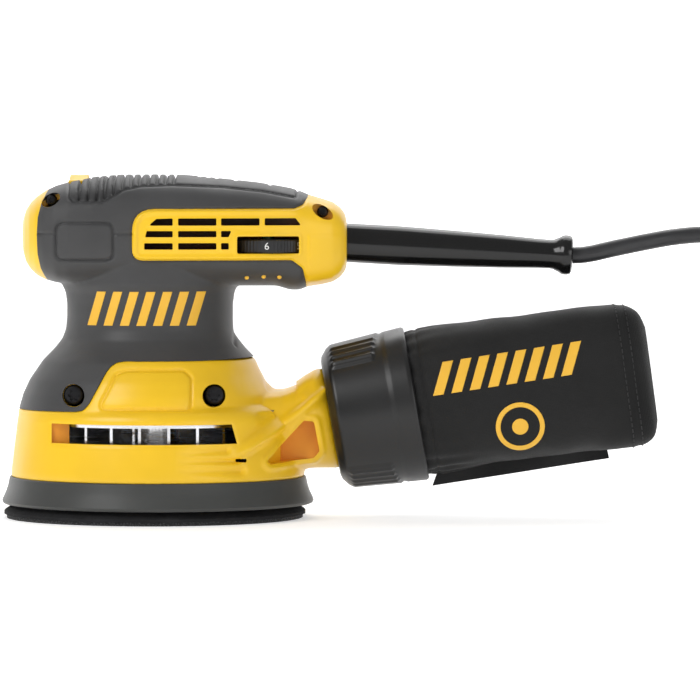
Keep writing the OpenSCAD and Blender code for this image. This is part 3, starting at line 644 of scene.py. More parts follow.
def superellipse(half_wide: float, half_high: float, power: float, count: int) -> list[Point2]:
    """Return points round a squarish oval."""
    points = []
    for k in range(count):
        turn = 2 * math.pi * k / count
        c, s = math.cos(turn), math.sin(turn)
        points.append(
            (
                half_wide * math.copysign(abs(c) ** (2 / power), c),
                half_high * math.copysign(abs(s) ** (2 / power), s),
            )
        )
    return points


def remesh(piece: bpy.types.Object, voxel: float, smooth: int = 4) -> None:
    """Fuse a closed shape into one even skin.

    Args:
        piece: the shape.
        voxel: the size of the new faces, in millimetres.
        smooth: rounds of smoothing afterwards.
    """
    modifier = piece.modifiers.new("skin", "REMESH")
    modifier.mode = "VOXEL"
    modifier.voxel_size = voxel * MM
    modifier.use_smooth_shade = True
    if smooth:
        ease = piece.modifiers.new("ease", "SMOOTH")
        ease.factor = 0.5
        ease.iterations = smooth
    apply_modifiers(piece)


def vertex_array(piece: bpy.types.Object, what: str = "co") -> np.ndarray:
    """Return a piece's vertex places, or its vertex normals, as rows of three."""
    count = len(piece.data.vertices)
    values = np.empty(count * 3, np.float32)
    if what == "co":
        piece.data.vertices.foreach_get("co", values)
    else:
        piece.data.vertex_normals.foreach_get("vector", values)
    return values.reshape(-1, 3).astype(float)


def set_vertices(piece: bpy.types.Object, places: np.ndarray) -> None:
    """Write vertex places back to a piece."""
    piece.data.vertices.foreach_set("co", places.astype(np.float32).ravel())
    piece.data.update()


def distance_to(points: np.ndarray, outline: Sequence[Point2], closed: bool = True) -> np.ndarray:
    """Return each point's distance to an outline in the side view, negative inside a closed one."""
    corners = np.array(outline, float)
    ends = np.roll(corners, -1, axis=0) if closed else corners[1:]
    starts = corners if closed else corners[:-1]
    best = np.full(len(points), np.inf)
    inside = np.zeros(len(points), bool)
    for (ax, az), (bx, bz) in zip(starts, ends):
        dx, dz = bx - ax, bz - az
        length2 = max(dx * dx + dz * dz, 1e-12)
        t = np.clip(((points[:, 0] - ax) * dx + (points[:, 1] - az) * dz) / length2, 0, 1)
        gap = np.hypot(points[:, 0] - ax - t * dx, points[:, 1] - az - t * dz)
        best = np.minimum(best, gap)
        if closed and az != bz:
            crosses = (az > points[:, 1]) != (bz > points[:, 1])
            at = ax + (points[:, 1] - az) * dx / dz
            inside ^= crosses & (points[:, 0] < at)
    return np.where(inside, -best, best) if closed else best


def ridge(gap: np.ndarray, width: float, high: float) -> np.ndarray:
    """Return a rounded ridge, or a groove where high is negative, along gap = 0."""
    return high * np.exp(-((gap / width) ** 2))


def step(gap: np.ndarray, width: float, high: float) -> np.ndarray:
    """Return a soft step up by high where gap is below zero."""
    return high / (1 + np.exp(np.clip(gap / width, -30, 30)))


# ---------------------------------------------------------------- studio


@dataclass
class Studio:
    """Pale floor and backdrop, soft lights and the camera."""

    target: tuple[float, float, float] = (0.0806, 0.0, 0.070)
    distance: float = 2.5
    elevation: float = 2.2
    view_width: float = 0.2937

    def build(self) -> None:
        """Make the camera, the floor and the lights."""
        self.camera()
        self.floor()
        self.lights()

    def camera(self) -> None:
        """Put the camera level with the tool's middle, a little above it."""
        data = bpy.data.cameras.new("camera")
        data.sensor_width = 36
        data.lens = data.sensor_width * self.distance / self.view_width
        data.clip_end = 20
        eye = linked("camera", data)
        lift = math.radians(self.elevation)
        place = Vector(self.target) + self.distance * Vector((0, -math.cos(lift), math.sin(lift)))
        eye.matrix_world = Matrix.Translation(place) @ Matrix.Rotation(math.pi / 2 - lift, 4, "X")
        bpy.context.scene.camera = eye

    def floor(self) -> None:
        """Lay the floor and stand a flat backdrop upright behind the tool."""
        mesh = bmesh.new()
        bmesh.ops.create_grid(mesh, x_segments=1, y_segments=1, size=4)
        ground = new_object("floor", mesh, smooth=False)
        tree = Finish("floor_paper", (0.88, 0.88, 0.88), 0.75).tree()
        tree.bump(tree.noise(300, 3), 0.0001, 0.1)
        tree.set({"Emission Color": (1, 1, 1, 1), "Emission Strength": 0.45})
        ground.data.materials.append(tree.material)
        mesh = bmesh.new()
        bmesh.ops.create_grid(mesh, x_segments=1, y_segments=1, size=6)
        bmesh.ops.rotate(mesh, verts=mesh.verts, matrix=Matrix.Rotation(math.pi / 2, 3, "X"))
        bmesh.ops.translate(mesh, verts=mesh.verts, vec=(0, 3.9, 0))
        wall = new_object("backdrop", mesh, smooth=False)
        tree = Finish("backdrop_paper", (0.8, 0.8, 0.8), 0.9).tree()
        tree.set({"Emission Color": (1, 1, 1, 1), "Emission Strength": 0.9})
        wall.data.materials.append(tree.material)

    def lights(self) -> None:
        """Hang two big soft lights, one low fill and a white sky."""
        for name, place, power, size in (
            ("key_light", (-0.9, -1.0, 1.0), 11, 0.8),
            ("fill_light", (1.1, -1.3, 0.5), 3, 0.7),
            ("back_light", (0.2, 0.7, 1.2), 7, 1.0),
        ):
            data = bpy.data.lights.new(name, "AREA")
            data.energy = power
            data.size = size
            lamp = linked(name, data)
            aim = (Vector(self.target) - Vector(place)).to_track_quat("-Z", "Y")
            lamp.matrix_world = Matrix.Translation(place) @ aim.to_matrix().to_4x4()
        world = bpy.data.worlds.new("sky")
        world.use_nodes = True
        world.node_tree.nodes["Background"].inputs["Color"].default_value = (1, 1, 1, 1)
        world.node_tree.nodes["Background"].inputs["Strength"].default_value = 0.35
        bpy.context.scene.world = world
        bpy.context.scene.view_settings.view_transform = "Standard"


# ---------------------------------------------------------------- cord


@dataclass
class MainsLead:
    """The free lead: down to the floor, round the coil and up to the plug."""

    diameter: float = 7.0
    length: float = 2400.0
    coil_centre: Point2 = (305.0, 0.0)
    coil_radii: tuple[float, float, float] = (46.0, 39.0, 32.0)
    route: tuple[tuple[float, float, float], ...] = (
        (173.8, 0, 109.7), (179, 0, 110), (190, 1, 112.3), (205, 4, 115.3), (220, 10, 117.6),
        (235, 20, 117.6), (248, 32.5, 112.5), (257, 45.5, 102.5), (262, 58, 89.5), (264, 68, 73.5),
        (264, 74, 57), (263, 76, 41), (262, 73, 26), (261, 64, 13), (260, 50, 5.2), (259, 34, 3.5),
        (259, 17, 3.5), (259, 0, 3.5),
    )
    tail: tuple[tuple[float, float, float], ...] = (
        (333, -36.5, 24.5), (343, -27.5, 26), (349, -15, 29), (351, -2, 33), (351.5, 10, 36.5),
        (351.5, 22, 37),
    )

    def coil(self) -> list[Vector]:
        """Return the coil's points: rows are changed in one stretch of the turn and layers in another."""
        outer, middle, inner = self.coil_radii
        d = self.diameter
        low = d / 2
        stops = [
            (180, outer, low), (480, outer, low), (530, middle, low), (840, middle, low), (890, inner, low),
            (1100, inner, low), (1150, inner, low + d), (1200, inner, low + d), (1250, middle, low + d),
            (1560, middle, low + d), (1610, outer, low + d), (1820, outer, low + d),
            (1870, outer, low + 2 * d),
            (1920, outer, low + 2 * d), (1970, middle, low + 2 * d), (2280, middle, low + 2 * d),
            (2330, inner, low + 2 * d), (2540, inner, low + 2 * d), (2590, inner, low + 3 * d),
            (2640, inner, low + 3 * d), (2690, middle, low + 3 * d), (3000, middle, low + 3 * d),
            (3050, outer, low + 3 * d), (3187.7, outer, low + 3 * d),
        ]
        angles = [s[0] for s in stops]
        points = []
        for turn in np.arange(190, 3180, 9.0):
            radius = float(np.interp(turn, angles, [s[1] for s in stops]))
            high = float(np.interp(turn, angles, [s[2] for s in stops]))
            at = math.radians(turn)
            x, y = self.coil_centre[0] + radius * math.cos(at), self.coil_centre[1] + radius * math.sin(at)
            points.append(Vector((x, y, high)))
        return points

    def points(self) -> list[Vector]:
        """Return the whole centreline in metres."""
        line = [Vector(p) for p in self.route] + self.coil() + [Vector(p) for p in self.tail]
        return [p * MM for p in line]

    def build(self) -> bpy.types.Object:
        data = bpy.data.curves.new("mains_lead", "CURVE")
        data.dimensions = "3D"
        data.bevel_depth = self.diameter / 2 * MM
        data.bevel_resolution = 5
        data.resolution_u = 3
        line = self.points()
        spline = data.splines.new("BEZIER")
        spline.bezier_points.add(len(line) - 1)
        for knot, place in zip(spline.bezier_points, line):
            knot.co = place
            knot.handle_left_type = knot.handle_right_type = "AUTO"
        piece = linked("mains_lead", data)
        data.use_fill_caps = True
        finish_piece(piece, Looks.JACKET, "housing", ["cord_tube", "cord_coil", "cord_tail"])
        plug = MainsPlug().build()
        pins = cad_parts["plug_pins"]
        [c * MM for c in self.route[0]]
        return piece


# ---------------------------------------------------------------- outlines shared by several pieces


class Outline:
    """Side-view outlines in millimetres, as (x, z)."""

    SHROUD_TOP: tuple[Point2, ...] = (
        (-90.0, 45.9), (-58.0, 45.9), (-32.6, 46.3), (-29.4, 46.9), (-27.0, 49.4), (-20.0, 62.4),
        (-18.2, 64.8), (-15.6, 66.5), (-12.4, 67.0), (18.6, 67.0), (39.4, 67.5), (90.0, 67.9),
    )
    FRONT_CAP: tuple[Point2, ...] = (
        (-90.0, 80.0), (-90.0, 160.0), (-43.5, 160.0), (-45.2, 137.0), (-47.4, 131.5), (-48.7, 126.0),
        (-49.1, 119.0), (-48.8, 111.0), (-47.6, 105.0), (-45.6, 100.5), (-44.5, 80.0),
    )
    REAR_SHELL: tuple[Point2, ...] = (
        (-9.4, 129.7), (57.5, 129.7), (61.0, 131.2), (63.0, 134.4), (64.5, 146.0), (95.0, 146.0),
        (95.0, 90.0), (62.6, 90.0), (62.3, 99.0), (61.0, 105.0), (56.5, 108.4), (-9.4, 108.4),
    )
    REAR_RADII: tuple[float, ...] = (9.5, 3.0, 2.0, 2.0, 0, 0, 0, 0, 3.0, 3.0, 3.0, 4.5)
    PALM: tuple[Point2, ...] = (
        (-37.2, 150.0), (-35.6, 134.0), (-34.0, 132.5), (-22.0, 132.4), (-19.2, 133.6), (-12.6, 137.8),
        (-6.0, 139.2), (7.0, 139.7), (28.0, 138.8), (45.0, 136.9), (58.0, 134.4), (61.8, 150.0),
    )
    PANEL: tuple[Point2, ...] = (
        (-23.2, 47.4), (-15.6, 62.0), (-11.5, 63.4), (12.4, 63.4), (15.4, 60.4), (15.4, 47.4),
    )
    INSET: tuple[Point2, ...] = ((-41.1, 108.3), (-41.1, 123.9), (-17.2, 123.9), (-17.2, 108.3))
    WINDOW: tuple[Point2, ...] = ((-42.6, 33.2), (-42.6, 41.2), (31.9, 41.2), (34.1, 33.2))
    GUSSET: tuple[Point2, ...] = (
        (46.2, 25.4), (61.4, 41.6), (65.6, 41.2), (67.9, 28.6), (65.4, 25.6), (48.0, 24.0)
    )
    DIAL: tuple[Point2, ...] = ((33.9, 111.1), (33.9, 118.3), (59.5, 118.3), (59.5, 111.1))
    SLOTS: tuple[tuple[Point2, ...], ...] = (
        ((-2.6, 122.8), (0.6, 125.6), (7.4, 125.8), (7.4, 122.8)),
        ((9.6, 122.8), (9.6, 125.8), (25.4, 125.8), (25.4, 122.8)),
        ((27.3, 122.8), (27.3, 125.8), (43.2, 125.8), (43.2, 122.8)),
        ((45.3, 122.8), (45.3, 125.8), (58.0, 125.8), (60.4, 122.8)),
        ((-4.0, 118.0), (-3.4, 120.6), (7.4, 120.6), (7.4, 118.0)),
        ((9.6, 118.0), (9.6, 120.6), (25.4, 120.6), (25.4, 118.0)),
        ((27.3, 118.0), (27.3, 120.6), (31.6, 120.6), (30.4, 118.0)),
        ((-4.4, 112.9), (-4.4, 115.6), (7.4, 115.6), (7.4, 112.9)),
        ((9.6, 112.9), (9.6, 115.6), (25.4, 115.6), (25.4, 112.9)),
        ((27.3, 112.9), (27.3, 115.6), (30.5, 115.6), (30.5, 112.9)),
    )


@dataclass(frozen=True)
class ScrewPlace:
    """Where a housing screw goes in from the near side, in millimetres."""

    x: float
    z: float
    seat: float
    pocket: tuple[float, float] = (4.7, 4.7)
    tilt: float = 0.0

    def outline(self, extra: float) -> list[Point2]:
        """Return the pocket's outline, wider by extra all round."""
        return oval(self.x, self.z, self.pocket[0] + extra, self.pocket[1] + extra, self.tilt)


SCREWS = (
    ScrewPlace(-33.5, 52.8, -36.0),
    ScrewPlace(24.5, 52.8, -37.6),
    ScrewPlace(-43.3, 133.3, -23.5, (4.2, 2.5), 28.0),
    ScrewPlace(69.2, 128.3, -16.5, (4.9, 2.5), -32.0),
)


def raised_skin(piece: bpy.types.Object, name: str) -> bpy.types.Object:
    """Return a copy of a piece that stands out by the thickness of printed ink."""
    skin = copy_of(piece, name)
    places, normals = vertex_array(skin), vertex_array(skin, "normal")
    set_vertices(skin, places + normals * INK_T * MM)
    return skin


def oval(
    x: float, z: float, half_long: float, half_short: float, tilt: float, count: int = 40
) -> list[Point2]:
    """Return a tilted oval in the side view."""
    c, s = math.cos(math.radians(tilt)), math.sin(math.radians(tilt))
    points = []
    for k in range(count):
        turn = 2 * math.pi * k / count
        a, b = half_long * math.cos(turn), half_short * math.sin(turn)
        points.append((x + a * c - b * s, z + a * s + b * c))
    return points


# ---------------------------------------------------------------- handle, neck and shroud


@dataclass
class BodyForm:
    """The outer form of the handle and the neck, and the same form drawn in by a wall."""

    stations: tuple[tuple[float, float, float, float], ...] = (
        (-56.3, 6, 114.6, 122.0), (-55.9, 13, 110.8, 125.6), (-54.6, 20.5, 106.9, 129.3),
        (-52.6, 26.2, 103.9, 132.2), (-50.0, 30.4, 101.6, 134.7), (-46.4, 34.0, 99.8, 137.1),
        (-42, 36.4, 98.6, 139.1), (-36, 37.8, 98, 140.8), (-26.3, 38.5, 97.6, 142.7),
        (-15.8, 38.5, 97.4, 143.6), (-3, 38.5, 97.3, 143.7), (9.4, 38.2, 97.3, 143.6),
        (15.6, 37.6, 97.3, 143.1), (30.3, 35.9, 97.2, 141.6), (42.9, 34.1, 97.2, 140.2),
        (50, 32.3, 97.2, 139), (55.5, 30.6, 95.5, 138), (59.6, 29.4, 95.5, 136.8),
        (62.9, 28.4, 96.9, 135.3), (68, 26.9, 97.6, 133.8), (73.4, 24.9, 98.8, 132.1),
        (76.6, 22.9, 100.9, 129.8), (78.6, 20.5, 103.4, 127.0), (79.3, 17.5, 105.8, 123.8),
        (79.5, 12, 109.5, 120),
    )
    neck_x: float = -3.2
    neck: tuple[Point2, ...] = (
        (57.0, 38), (54.9, 46), (53.2, 52.0), (50.4, 58.0), (44.9, 66.0), (39.8, 71.2), (36.8, 75.0),
        (35.3, 79.0), (34.8, 84), (34.8, 90), (35.4, 94.5), (37.0, 98), (37.0, 110),
    )
    power: float = 3.3

    def ring(self, x: float, half: float, low: float, high: float, inset: float) -> list[Vector]:
        """Return one squarish ring of the handle."""
        points = superellipse(max(half - inset, 2), max((high - low) / 2 - inset, 2), self.power, 96)
        middle = (low + high) / 2
        return [Vector((x, y, middle + z)) * MM for y, z in points]

    def build(self, name: str, inset: float = 0.0) -> bpy.types.Object:
        """Return the handle and the neck as one closed shape.

        Args:
            name: the shape's name.
            inset: how far it is drawn in, in millimetres.

        Returns:
            The shape.
        """
        first, last = self.stations[0][0], self.stations[-1][0]
        rings = []
        for x, half, low, high in self.stations:
            place = min(max(x, first + inset), last - inset)
            if rings and place * MM - rings[-1][0].x < 0.2 * MM:
                continue
            rings.append(self.ring(place, half, low, high, inset))
        handle = loft(name, rings)
        profile = [(0.0, self.neck[0][1] - 1.0)]
        profile += [(r - inset, z - (1.0 if i == 0 else 0.0)) for i, (r, z) in enumerate(self.neck)]
        profile.append((0.0, self.neck[-1][1]))
        neck = lathe(name + "_neck", profile, 128, (self.neck_x, 0, 0))
        return combine(handle, neck, "UNION")


@dataclass
class Shells:
    """Housing halves, grips and palm cover, all cut from one worked outer form."""

    form: BodyForm = field(default_factory=BodyForm)
    grip_t: float = 2.0
    wall_t: float = 4.2
    voxel: float = 0.62

    def relief(self, points: np.ndarray, normals: np.ndarray) -> np.ndarray:
        """Return the outer form's relief in millimetres at each point."""
        side = np.clip((normals[:, 1] * np.sign(points[:, 1]) - 0.2) / 0.25, 0, 1)
        flat = points[:, (0, 2)]
        x, z = flat[:, 0], flat[:, 1]
        inset = distance_to(flat, rounded(Outline.INSET, 3.4))
        lift = side * (ridge(inset, 0.55, -1.5) + step(inset, 0.5, 0.2))
        crease = ridge(z - 119.4, 0.42, -0.9) * ((x < -8.5) & (x > -48.9) & (inset > 0.6))
        lift += side * crease
        rear = distance_to(flat, rounded(Outline.REAR_SHELL, Outline.REAR_RADII))
        rim = ridge(rear + 1.3, 0.85, 0.8) * np.clip((60 - x) / 4, 0, 1)
        lift += side * (rim + ridge(rear, 0.5, -0.9) + step(rear, 0.5, 0.25))
        lift += side * step(z - 118.7, 0.35, 0.3) * (x > 63.5)
        for slot in Outline.SLOTS:
            lift += side * ridge(distance_to(flat, slot), 0.55, 0.18)
        lift += side * ridge(distance_to(flat, rounded(Outline.DIAL, 1.0)) - 0.7, 0.6, 0.3)
        panel = distance_to(flat, rounded(Outline.PANEL, 2.5))
        lift += side * (ridge(panel, 0.5, -0.75) + step(panel, 0.5, 0.15))
        palm = distance_to(flat, Outline.PALM)
        up = np.clip((normals[:, 2] + 0.1) / 0.2, 0, 1)
        lift += up * ridge(palm, 0.5, -0.8)
        phase = np.mod(x + 33.2, 3.55) / 3.55
        groove = np.clip(np.cos(2 * np.pi * (phase - 0.5)) * 2.2 - 0.5, 0, 1)
        ribbed = np.clip(-palm / 0.8 - 0.6, 0, 1) * ((x > -33.2) & (x < 9.6))
        lift -= up * groove * ribbed * 1.9
        for place, wide in ((17.5, 0.7), (21.0, 0.7), (24.5, 0.7), (32.5, 0.8), (47.0, 0.8)):
            lift += up * ridge(x - place, wide, -0.6) * np.clip((16 - np.abs(points[:, 1])) / 2, 0, 1)
        return lift

    def outer(self) -> bpy.types.Object:
        """Return the fused, softened and worked outer form."""
        body = self.form.build("outer_form")
        remesh(body, self.voxel, 14)
        places, normals = vertex_array(body), vertex_array(body, "normal")
        lift = self.relief(places / MM, normals)
        set_vertices(body, places + normals * (lift * MM)[:, None])
        return body

    def cutters(self) -> dict[str, bpy.types.Object]:
        """Return the closed shapes that part the pieces from each other, by name."""
        shapes = {
            "front": Outline.FRONT_CAP,
            "rear": rounded(Outline.REAR_SHELL, Outline.REAR_RADII),
            "palm": list(Outline.PALM),
            "shroud": [*Outline.SHROUD_TOP, (90, 10), (-90, 10)],
        }
        return {name: prism("cut_" + name, outline, -90, 90) for name, outline in shapes.items()}

    def openings(self) -> bpy.types.Object:
        """Return every slot and hole of the hard shells as one shape."""
        tool = prism("openings", rounded(Outline.DIAL, 0.9), -60, -22)
        for slot in Outline.SLOTS:
            for low, high in ((-60, -12), (12, 60)):
                combine(tool, prism("slot", rounded(slot, 0.5, 3), low, high), "UNION")
        return tool

    def pockets(self, extra: float, deeper: float = 0.0) -> bpy.types.Object:
        """Return the screw pockets as one shape.

        Args:
            extra: how much wider than the pocket.
            deeper: how far past the seat they go.

        Returns:
            The shape.
        """
        return united(
            prism("pocket", place.outline(extra), -90, place.seat + deeper) for place in SCREWS
        )

    def rear_boss(self, outer: bpy.types.Object) -> bpy.types.Object:
        """Return the solid boss round the rear upper screw, kept inside the outer form."""
        place = SCREWS[3]
        boss = prism("rear_boss", place.outline(1.6), -60, place.seat + 3)
        return combine(boss, outer, "INTERSECT", keep=True)

    def rocker_hole(self, extra: float) -> bpy.types.Object:
        """Return the opening over the switch."""
        return prism("rocker_hole", [(-37.3 - extra, 133.9), (-37.3 - extra, 150), (-28.7 + extra, 150),
                                     (-28.7 + extra, 133.9)], -11.2 - extra, 11.2 + extra)

    def bore(self) -> bpy.types.Object:
        """Return the hole that the strain relief leaves through."""
        hole = lathe("bore", [(0, -30), (8.6, -30), (8.6, 30), (0, 30)], 64)
        hole.data.transform(placing((79.4, 0, 115), 93.2, "Y"))
        return hole

    def air_guides(self) -> None:
        """Stand a dark reddish sheet behind the slots on each side, as painted shade for the yellow shell in
        shadow behind the slots.
        """
        outlines = ([(-9, 110.5), (-9, 127), (33.2, 127), (33.2, 110.5)],
                    [(33, 121), (33, 127), (61, 127), (61, 121)])
        plates = united(
            prism("slot_shade_sheet", outline, low, high)
            for low, high in ((-24.7, -23.5), (23.5, 24.7)) for outline in outlines
        )
        plates.name = "slot_shade_sheet_set"
        finish_piece(plates, Looks.GUIDE, "housing")

    def halves(self, piece: bpy.types.Object, name: str) -> list[bpy.types.Object]:
        """Part a piece down the middle and return the near and the far half."""
        made = []
        for side, low, high in (("left", -90, -0.08), ("right", 0.08, 90)):
            half = copy_of(piece, f"{name}_{side}")
            box = prism("half", [(-120, 0), (-120, 200), (120, 200), (120, 0)], low, high)
            combine(half, box, "INTERSECT")
            made.append(half)
        remove_piece(piece)
        return made

    def build(self) -> bpy.types.Object:
        """Make every shell and return the worked outer form, which the shroud shares."""
        outer = self.outer()
        middle = self.form.build("under_grip", self.grip_t)
        inner = self.form.build("inside", self.wall_t)
        cut = self.cutters()

        grip = combine(copy_of(outer, "grip"), middle, "DIFFERENCE", keep=True)
        for name in ("front", "rear", "palm", "shroud"):
            combine(grip, cut[name], "DIFFERENCE", keep=True)
        combine(grip, self.pockets(0.0), "DIFFERENCE")
        combine(grip, self.rocker_hole(0.0), "DIFFERENCE")

        palm = combine(copy_of(outer, "palm_cover_top"), middle, "DIFFERENCE", keep=True)
        combine(palm, cut["palm"], "INTERSECT", keep=True)
        combine(palm, cut["rear"], "DIFFERENCE", keep=True)
        combine(palm, self.rocker_hole(0.0), "DIFFERENCE")

        shown = combine(copy_of(outer, "housing"), cut["front"], "INTERSECT", keep=True)
        rear = combine(copy_of(outer, "rear_shown"), cut["rear"], "INTERSECT", keep=True)
        base = combine(copy_of(middle, "base"), cut["shroud"], "DIFFERENCE", keep=True)
        combine(shown, rear, "UNION")
        combine(shown, base, "UNION")
        combine(shown, inner, "DIFFERENCE", keep=True)
        combine(shown, self.rear_boss(outer), "UNION")
        for tool in (self.openings(), self.pockets(-0.02), self.rocker_hole(0.2), self.bore()):
            combine(shown, tool, "DIFFERENCE")
        self.air_guides()
        for tool in cut.values():
            remove_piece(tool)
        remove_piece(middle)
        remove_piece(inner)

        for piece in self.halves(shown, "housing_shell"):
            node = "housing_left" if piece.name.endswith("left") else "housing_right"
            finish_piece(piece, Looks.YELLOW, "housing", [node])
        for piece in self.halves(grip, "soft_grip"):
            node = "grip_left" if piece.name.endswith("left") else "grip_right"
            finish_piece(piece, Looks.GRIP, "housing", [node])
        # The palm cover takes the darker copy of the grip rubber, painted shade on the handle's top.
        finish_piece(palm, Looks.PALM, "housing", ["palm_cover"])
        return outer


SPIGOT: tuple[Point2, ...] = (
    (18.5, -5.0), (20.9, -5.0), (20.9, 8.0), (19.8, 8.0), (19.8, 10.4), (20.9, 10.4), (20.9, 13.3),
    (20.3, 13.9), (18.9, 13.9), (18.5, 13.5),
)


@dataclass
class ShroudPiece:
    """The yellow shroud with its flank, its dust duct, its window and its gusset."""

    cone: tuple[Point2, ...] = (
        (0, 17), (61.5, 17), (61.4, 20), (58.6, 42.3), (57.9, 44.3), (56.4, 46.0), (54.0, 47.4),
        (50.0, 48.4), (0, 48.4),
    )
    inside: tuple[Point2, ...] = ((0, 10), (58.9, 10), (58.9, 20), (55.4, 43.4), (0, 43.4))
    duct: tuple[tuple[float, float, float, float, float], ...] = (
        (20, 30, 17.2, 50, 3.0), (38, 31, 17.2, 53.5, 3.0), (46, 30, 17.6, 54.2, 3.0),
        (53, 27.5, 18.4, 54.4, 2.8), (58, 26.0, 19.4, 56.8, 2.6), (62, 25.0, 20.2, 59.6, 2.4),
        (66, 24.0, 20.6, 61.9, 2.2),
    )
    outlet: tuple[float, float, float] = (75.7, 0.0, 42.0)
    tilt: float = 9.9

    def at_outlet(self) -> Matrix:
        """Return the placing that points +Z along the outlet."""
        return placing(self.outlet, 90 - self.tilt, "Y")

    def solid(self) -> bpy.types.Object:
        """Return the shroud's outer form, filled."""
        body = lathe("shroud_form", self.cone, 160)
        rings = []
        for x, half, low, high, power in self.duct:
            middle = (low + high) / 2
            outline = superellipse(half, (high - low) / 2, power, 72)
            rings.append([Vector((x, y, middle + z)) * MM for y, z in outline])
        turn = self.at_outlet()
        last = []
        for k in range(72):
            a = math.tau * k / 72
            last.append(turn @ (Vector((-21.2 * math.sin(a), 21.2 * math.cos(a), -3)) * MM))
        rings.append(last)
        combine(body, loft("duct", rings), "UNION")
        return body

    def relief(self, points: np.ndarray, normals: np.ndarray) -> np.ndarray:
        """Return the shroud's own relief in millimetres at each point."""
        flat = points[:, (0, 2)]
        x = flat[:, 0]
        side = np.clip((normals[:, 1] * np.sign(points[:, 1]) - 0.2) / 0.3, 0, 1)
        rib = distance_to(flat, ((34, 28.5), (52, 39.5), (61, 46.0), (69.5, 53.0)), closed=False)
        lift = side * ridge(rib, 1.9, 2.6) * np.clip((x - 32) / 8, 0, 1)
        under = distance_to(flat, ((38, 34.6), (50, 43.0), (60, 49.8)), closed=False)
        lift += side * ridge(under, 2.0, -0.9) * np.clip((x - 36) / 6, 0, 1)
        gusset = distance_to(flat, rounded(Outline.GUSSET, 1.5))
        lift += side * ridge(gusset - 1.4, 1.3, 0.8) * np.clip((x - 40) / 6, 0, 1)
        hollow = distance_to(flat, ((46, 45), (56, 50), (62, 55)), closed=False)
        lift += side * ridge(hollow, 3.2, -1.4)
        lift -= 1.7 * np.clip((x - 22) / 14, 0, 1) * ridge(flat[:, 1] - 60, 6.5, 1.0) * (x < 58)
        grow = np.clip((x - 9) / 26, 0, 1)
        for line, wide, deep in (
            (((9, 26.6), (35, 26.1)), 1.2, -2.2),
            (((7, 29.6), (30, 30.6)), 1.4, -1.8),
            (((3, 22.9), (36, 22.2)), 1.7, -1.7),
        ):
            lift += side * grow * ridge(distance_to(flat, line, closed=False), wide, deep)
        panel = distance_to(flat, rounded(Outline.PANEL, 2.5))
        lift += side * (ridge(panel, 0.55, -0.7) + step(panel, 0.5, 0.15)) * (flat[:, 1] > 47.0)
        window = distance_to(flat, rounded(Outline.WINDOW, 0.8))
        lift += side * ridge(window - 0.3, 0.6, -0.25) * (x < 45)
        return lift

    def build(self, outer: bpy.types.Object) -> bpy.types.Object:
        """Make the shroud.

        Args:
            outer: the worked outer form of the housing, which is used up.

        Returns:
            The piece.
        """
        region = prism(
            "flank_region", list(Outline.SHROUD_TOP)[:-1] + [(90, 67.6), (90, 10), (-90, 10)], -90, 90
        )
        lower = prism("above_shoulder", [(-90, 44), (-90, 90), (90, 90), (90, 44)], -90, 90)
        combine(region, lower, "INTERSECT")
        flank = combine(outer, region, "INTERSECT")
        body = self.solid()
        combine(body, flank, "UNION")
        remesh(body, 0.62, 12)
        places, normals = vertex_array(body), vertex_array(body, "normal")
        set_vertices(body, places + normals * (self.relief(places / MM, normals) * MM)[:, None])

        hollow = lathe("hollow", self.inside, 128)
        upper = lathe(
            "upper_hollow", [(0, 40), (51, 40), (50.6, 46), (45.8, 58), (40.5, 66), (38, 75), (0, 75)], 128,
            (-3.2, 0, 0)
        )
        combine(hollow, upper, "UNION")
        bore = lathe("duct_bore", [(0, -32), (13, -32), (13, -6), (18.4, -3), (18.4, 10), (0, 10)], 64)
        bore.data.transform(self.at_outlet())
        combine(hollow, bore, "UNION")
        thick = lathe("thick_wall", [(52.4, 22.5), (75, 22.5), (75, 45.0), (52.4, 45.0)], 128)
        combine(thick, prism("behind", [(38, 0), (38, 80), (90, 80), (90, 0)], -90, 90), "INTERSECT")
        keep = lathe("kept_open", [(0, -32), (13, -32), (13, 0), (0, 0)], 48)
        keep.data.transform(self.at_outlet())
        combine(thick, keep, "DIFFERENCE")
        combine(hollow, thick, "DIFFERENCE")
        combine(body, hollow, "DIFFERENCE")
        top = prism("top_cut", list(Outline.SHROUD_TOP) + [(90, 120), (-90, 120)], -90, 90)
        combine(body, top, "DIFFERENCE")
        for low, high in ((-90, -20), (20, 90)):
            slot = prism("window", list(Outline.WINDOW), low, high)
            combine(body, slot, "DIFFERENCE")
        core = lathe("core", [(0, 5), (60.6, 5), (60.6, 22), (54.8, 24), (54.8, 44), (0, 44)], 128)
        for side in (-1, 1):
            for outline, depth, kept in (
                (rounded(Outline.GUSSET, 1.5), 17.5, True),
                (rounded([(33.4, 25.6), (33.4, 27.0), (38.0, 27.0), (38.0, 25.4)], 0.6), 40.0, False),
            ):
                low, high = sorted((side * depth, side * 90))
                pocket = prism("pocket", outline, low, high)
                if kept:
                    combine(pocket, core, "DIFFERENCE", keep=True)
                combine(body, pocket, "DIFFERENCE")
            low, high = sorted((side * 36.8, side * 39.3))
            cheek = prism("window_cheek", [(-42.9, 31), (-42.9, 43), (-35.4, 43), (-35.4, 31)], low, high)
            combine(body, cheek, "UNION")
        remove_piece(core)
        spigot = lathe("spigot", SPIGOT, 160)
        spigot.data.transform(self.at_outlet())
        combine(body, spigot, "UNION")
        screw = prism("screw_hole", oval(24.5, 52.8, 4.7, 4.7, 0), -90, 0)
        combine(body, screw, "DIFFERENCE")
        body.name = "shroud_shell"
        finish_piece(body, Looks.YELLOW, "housing", ["shroud"])
        return self.shade_recesses(body)

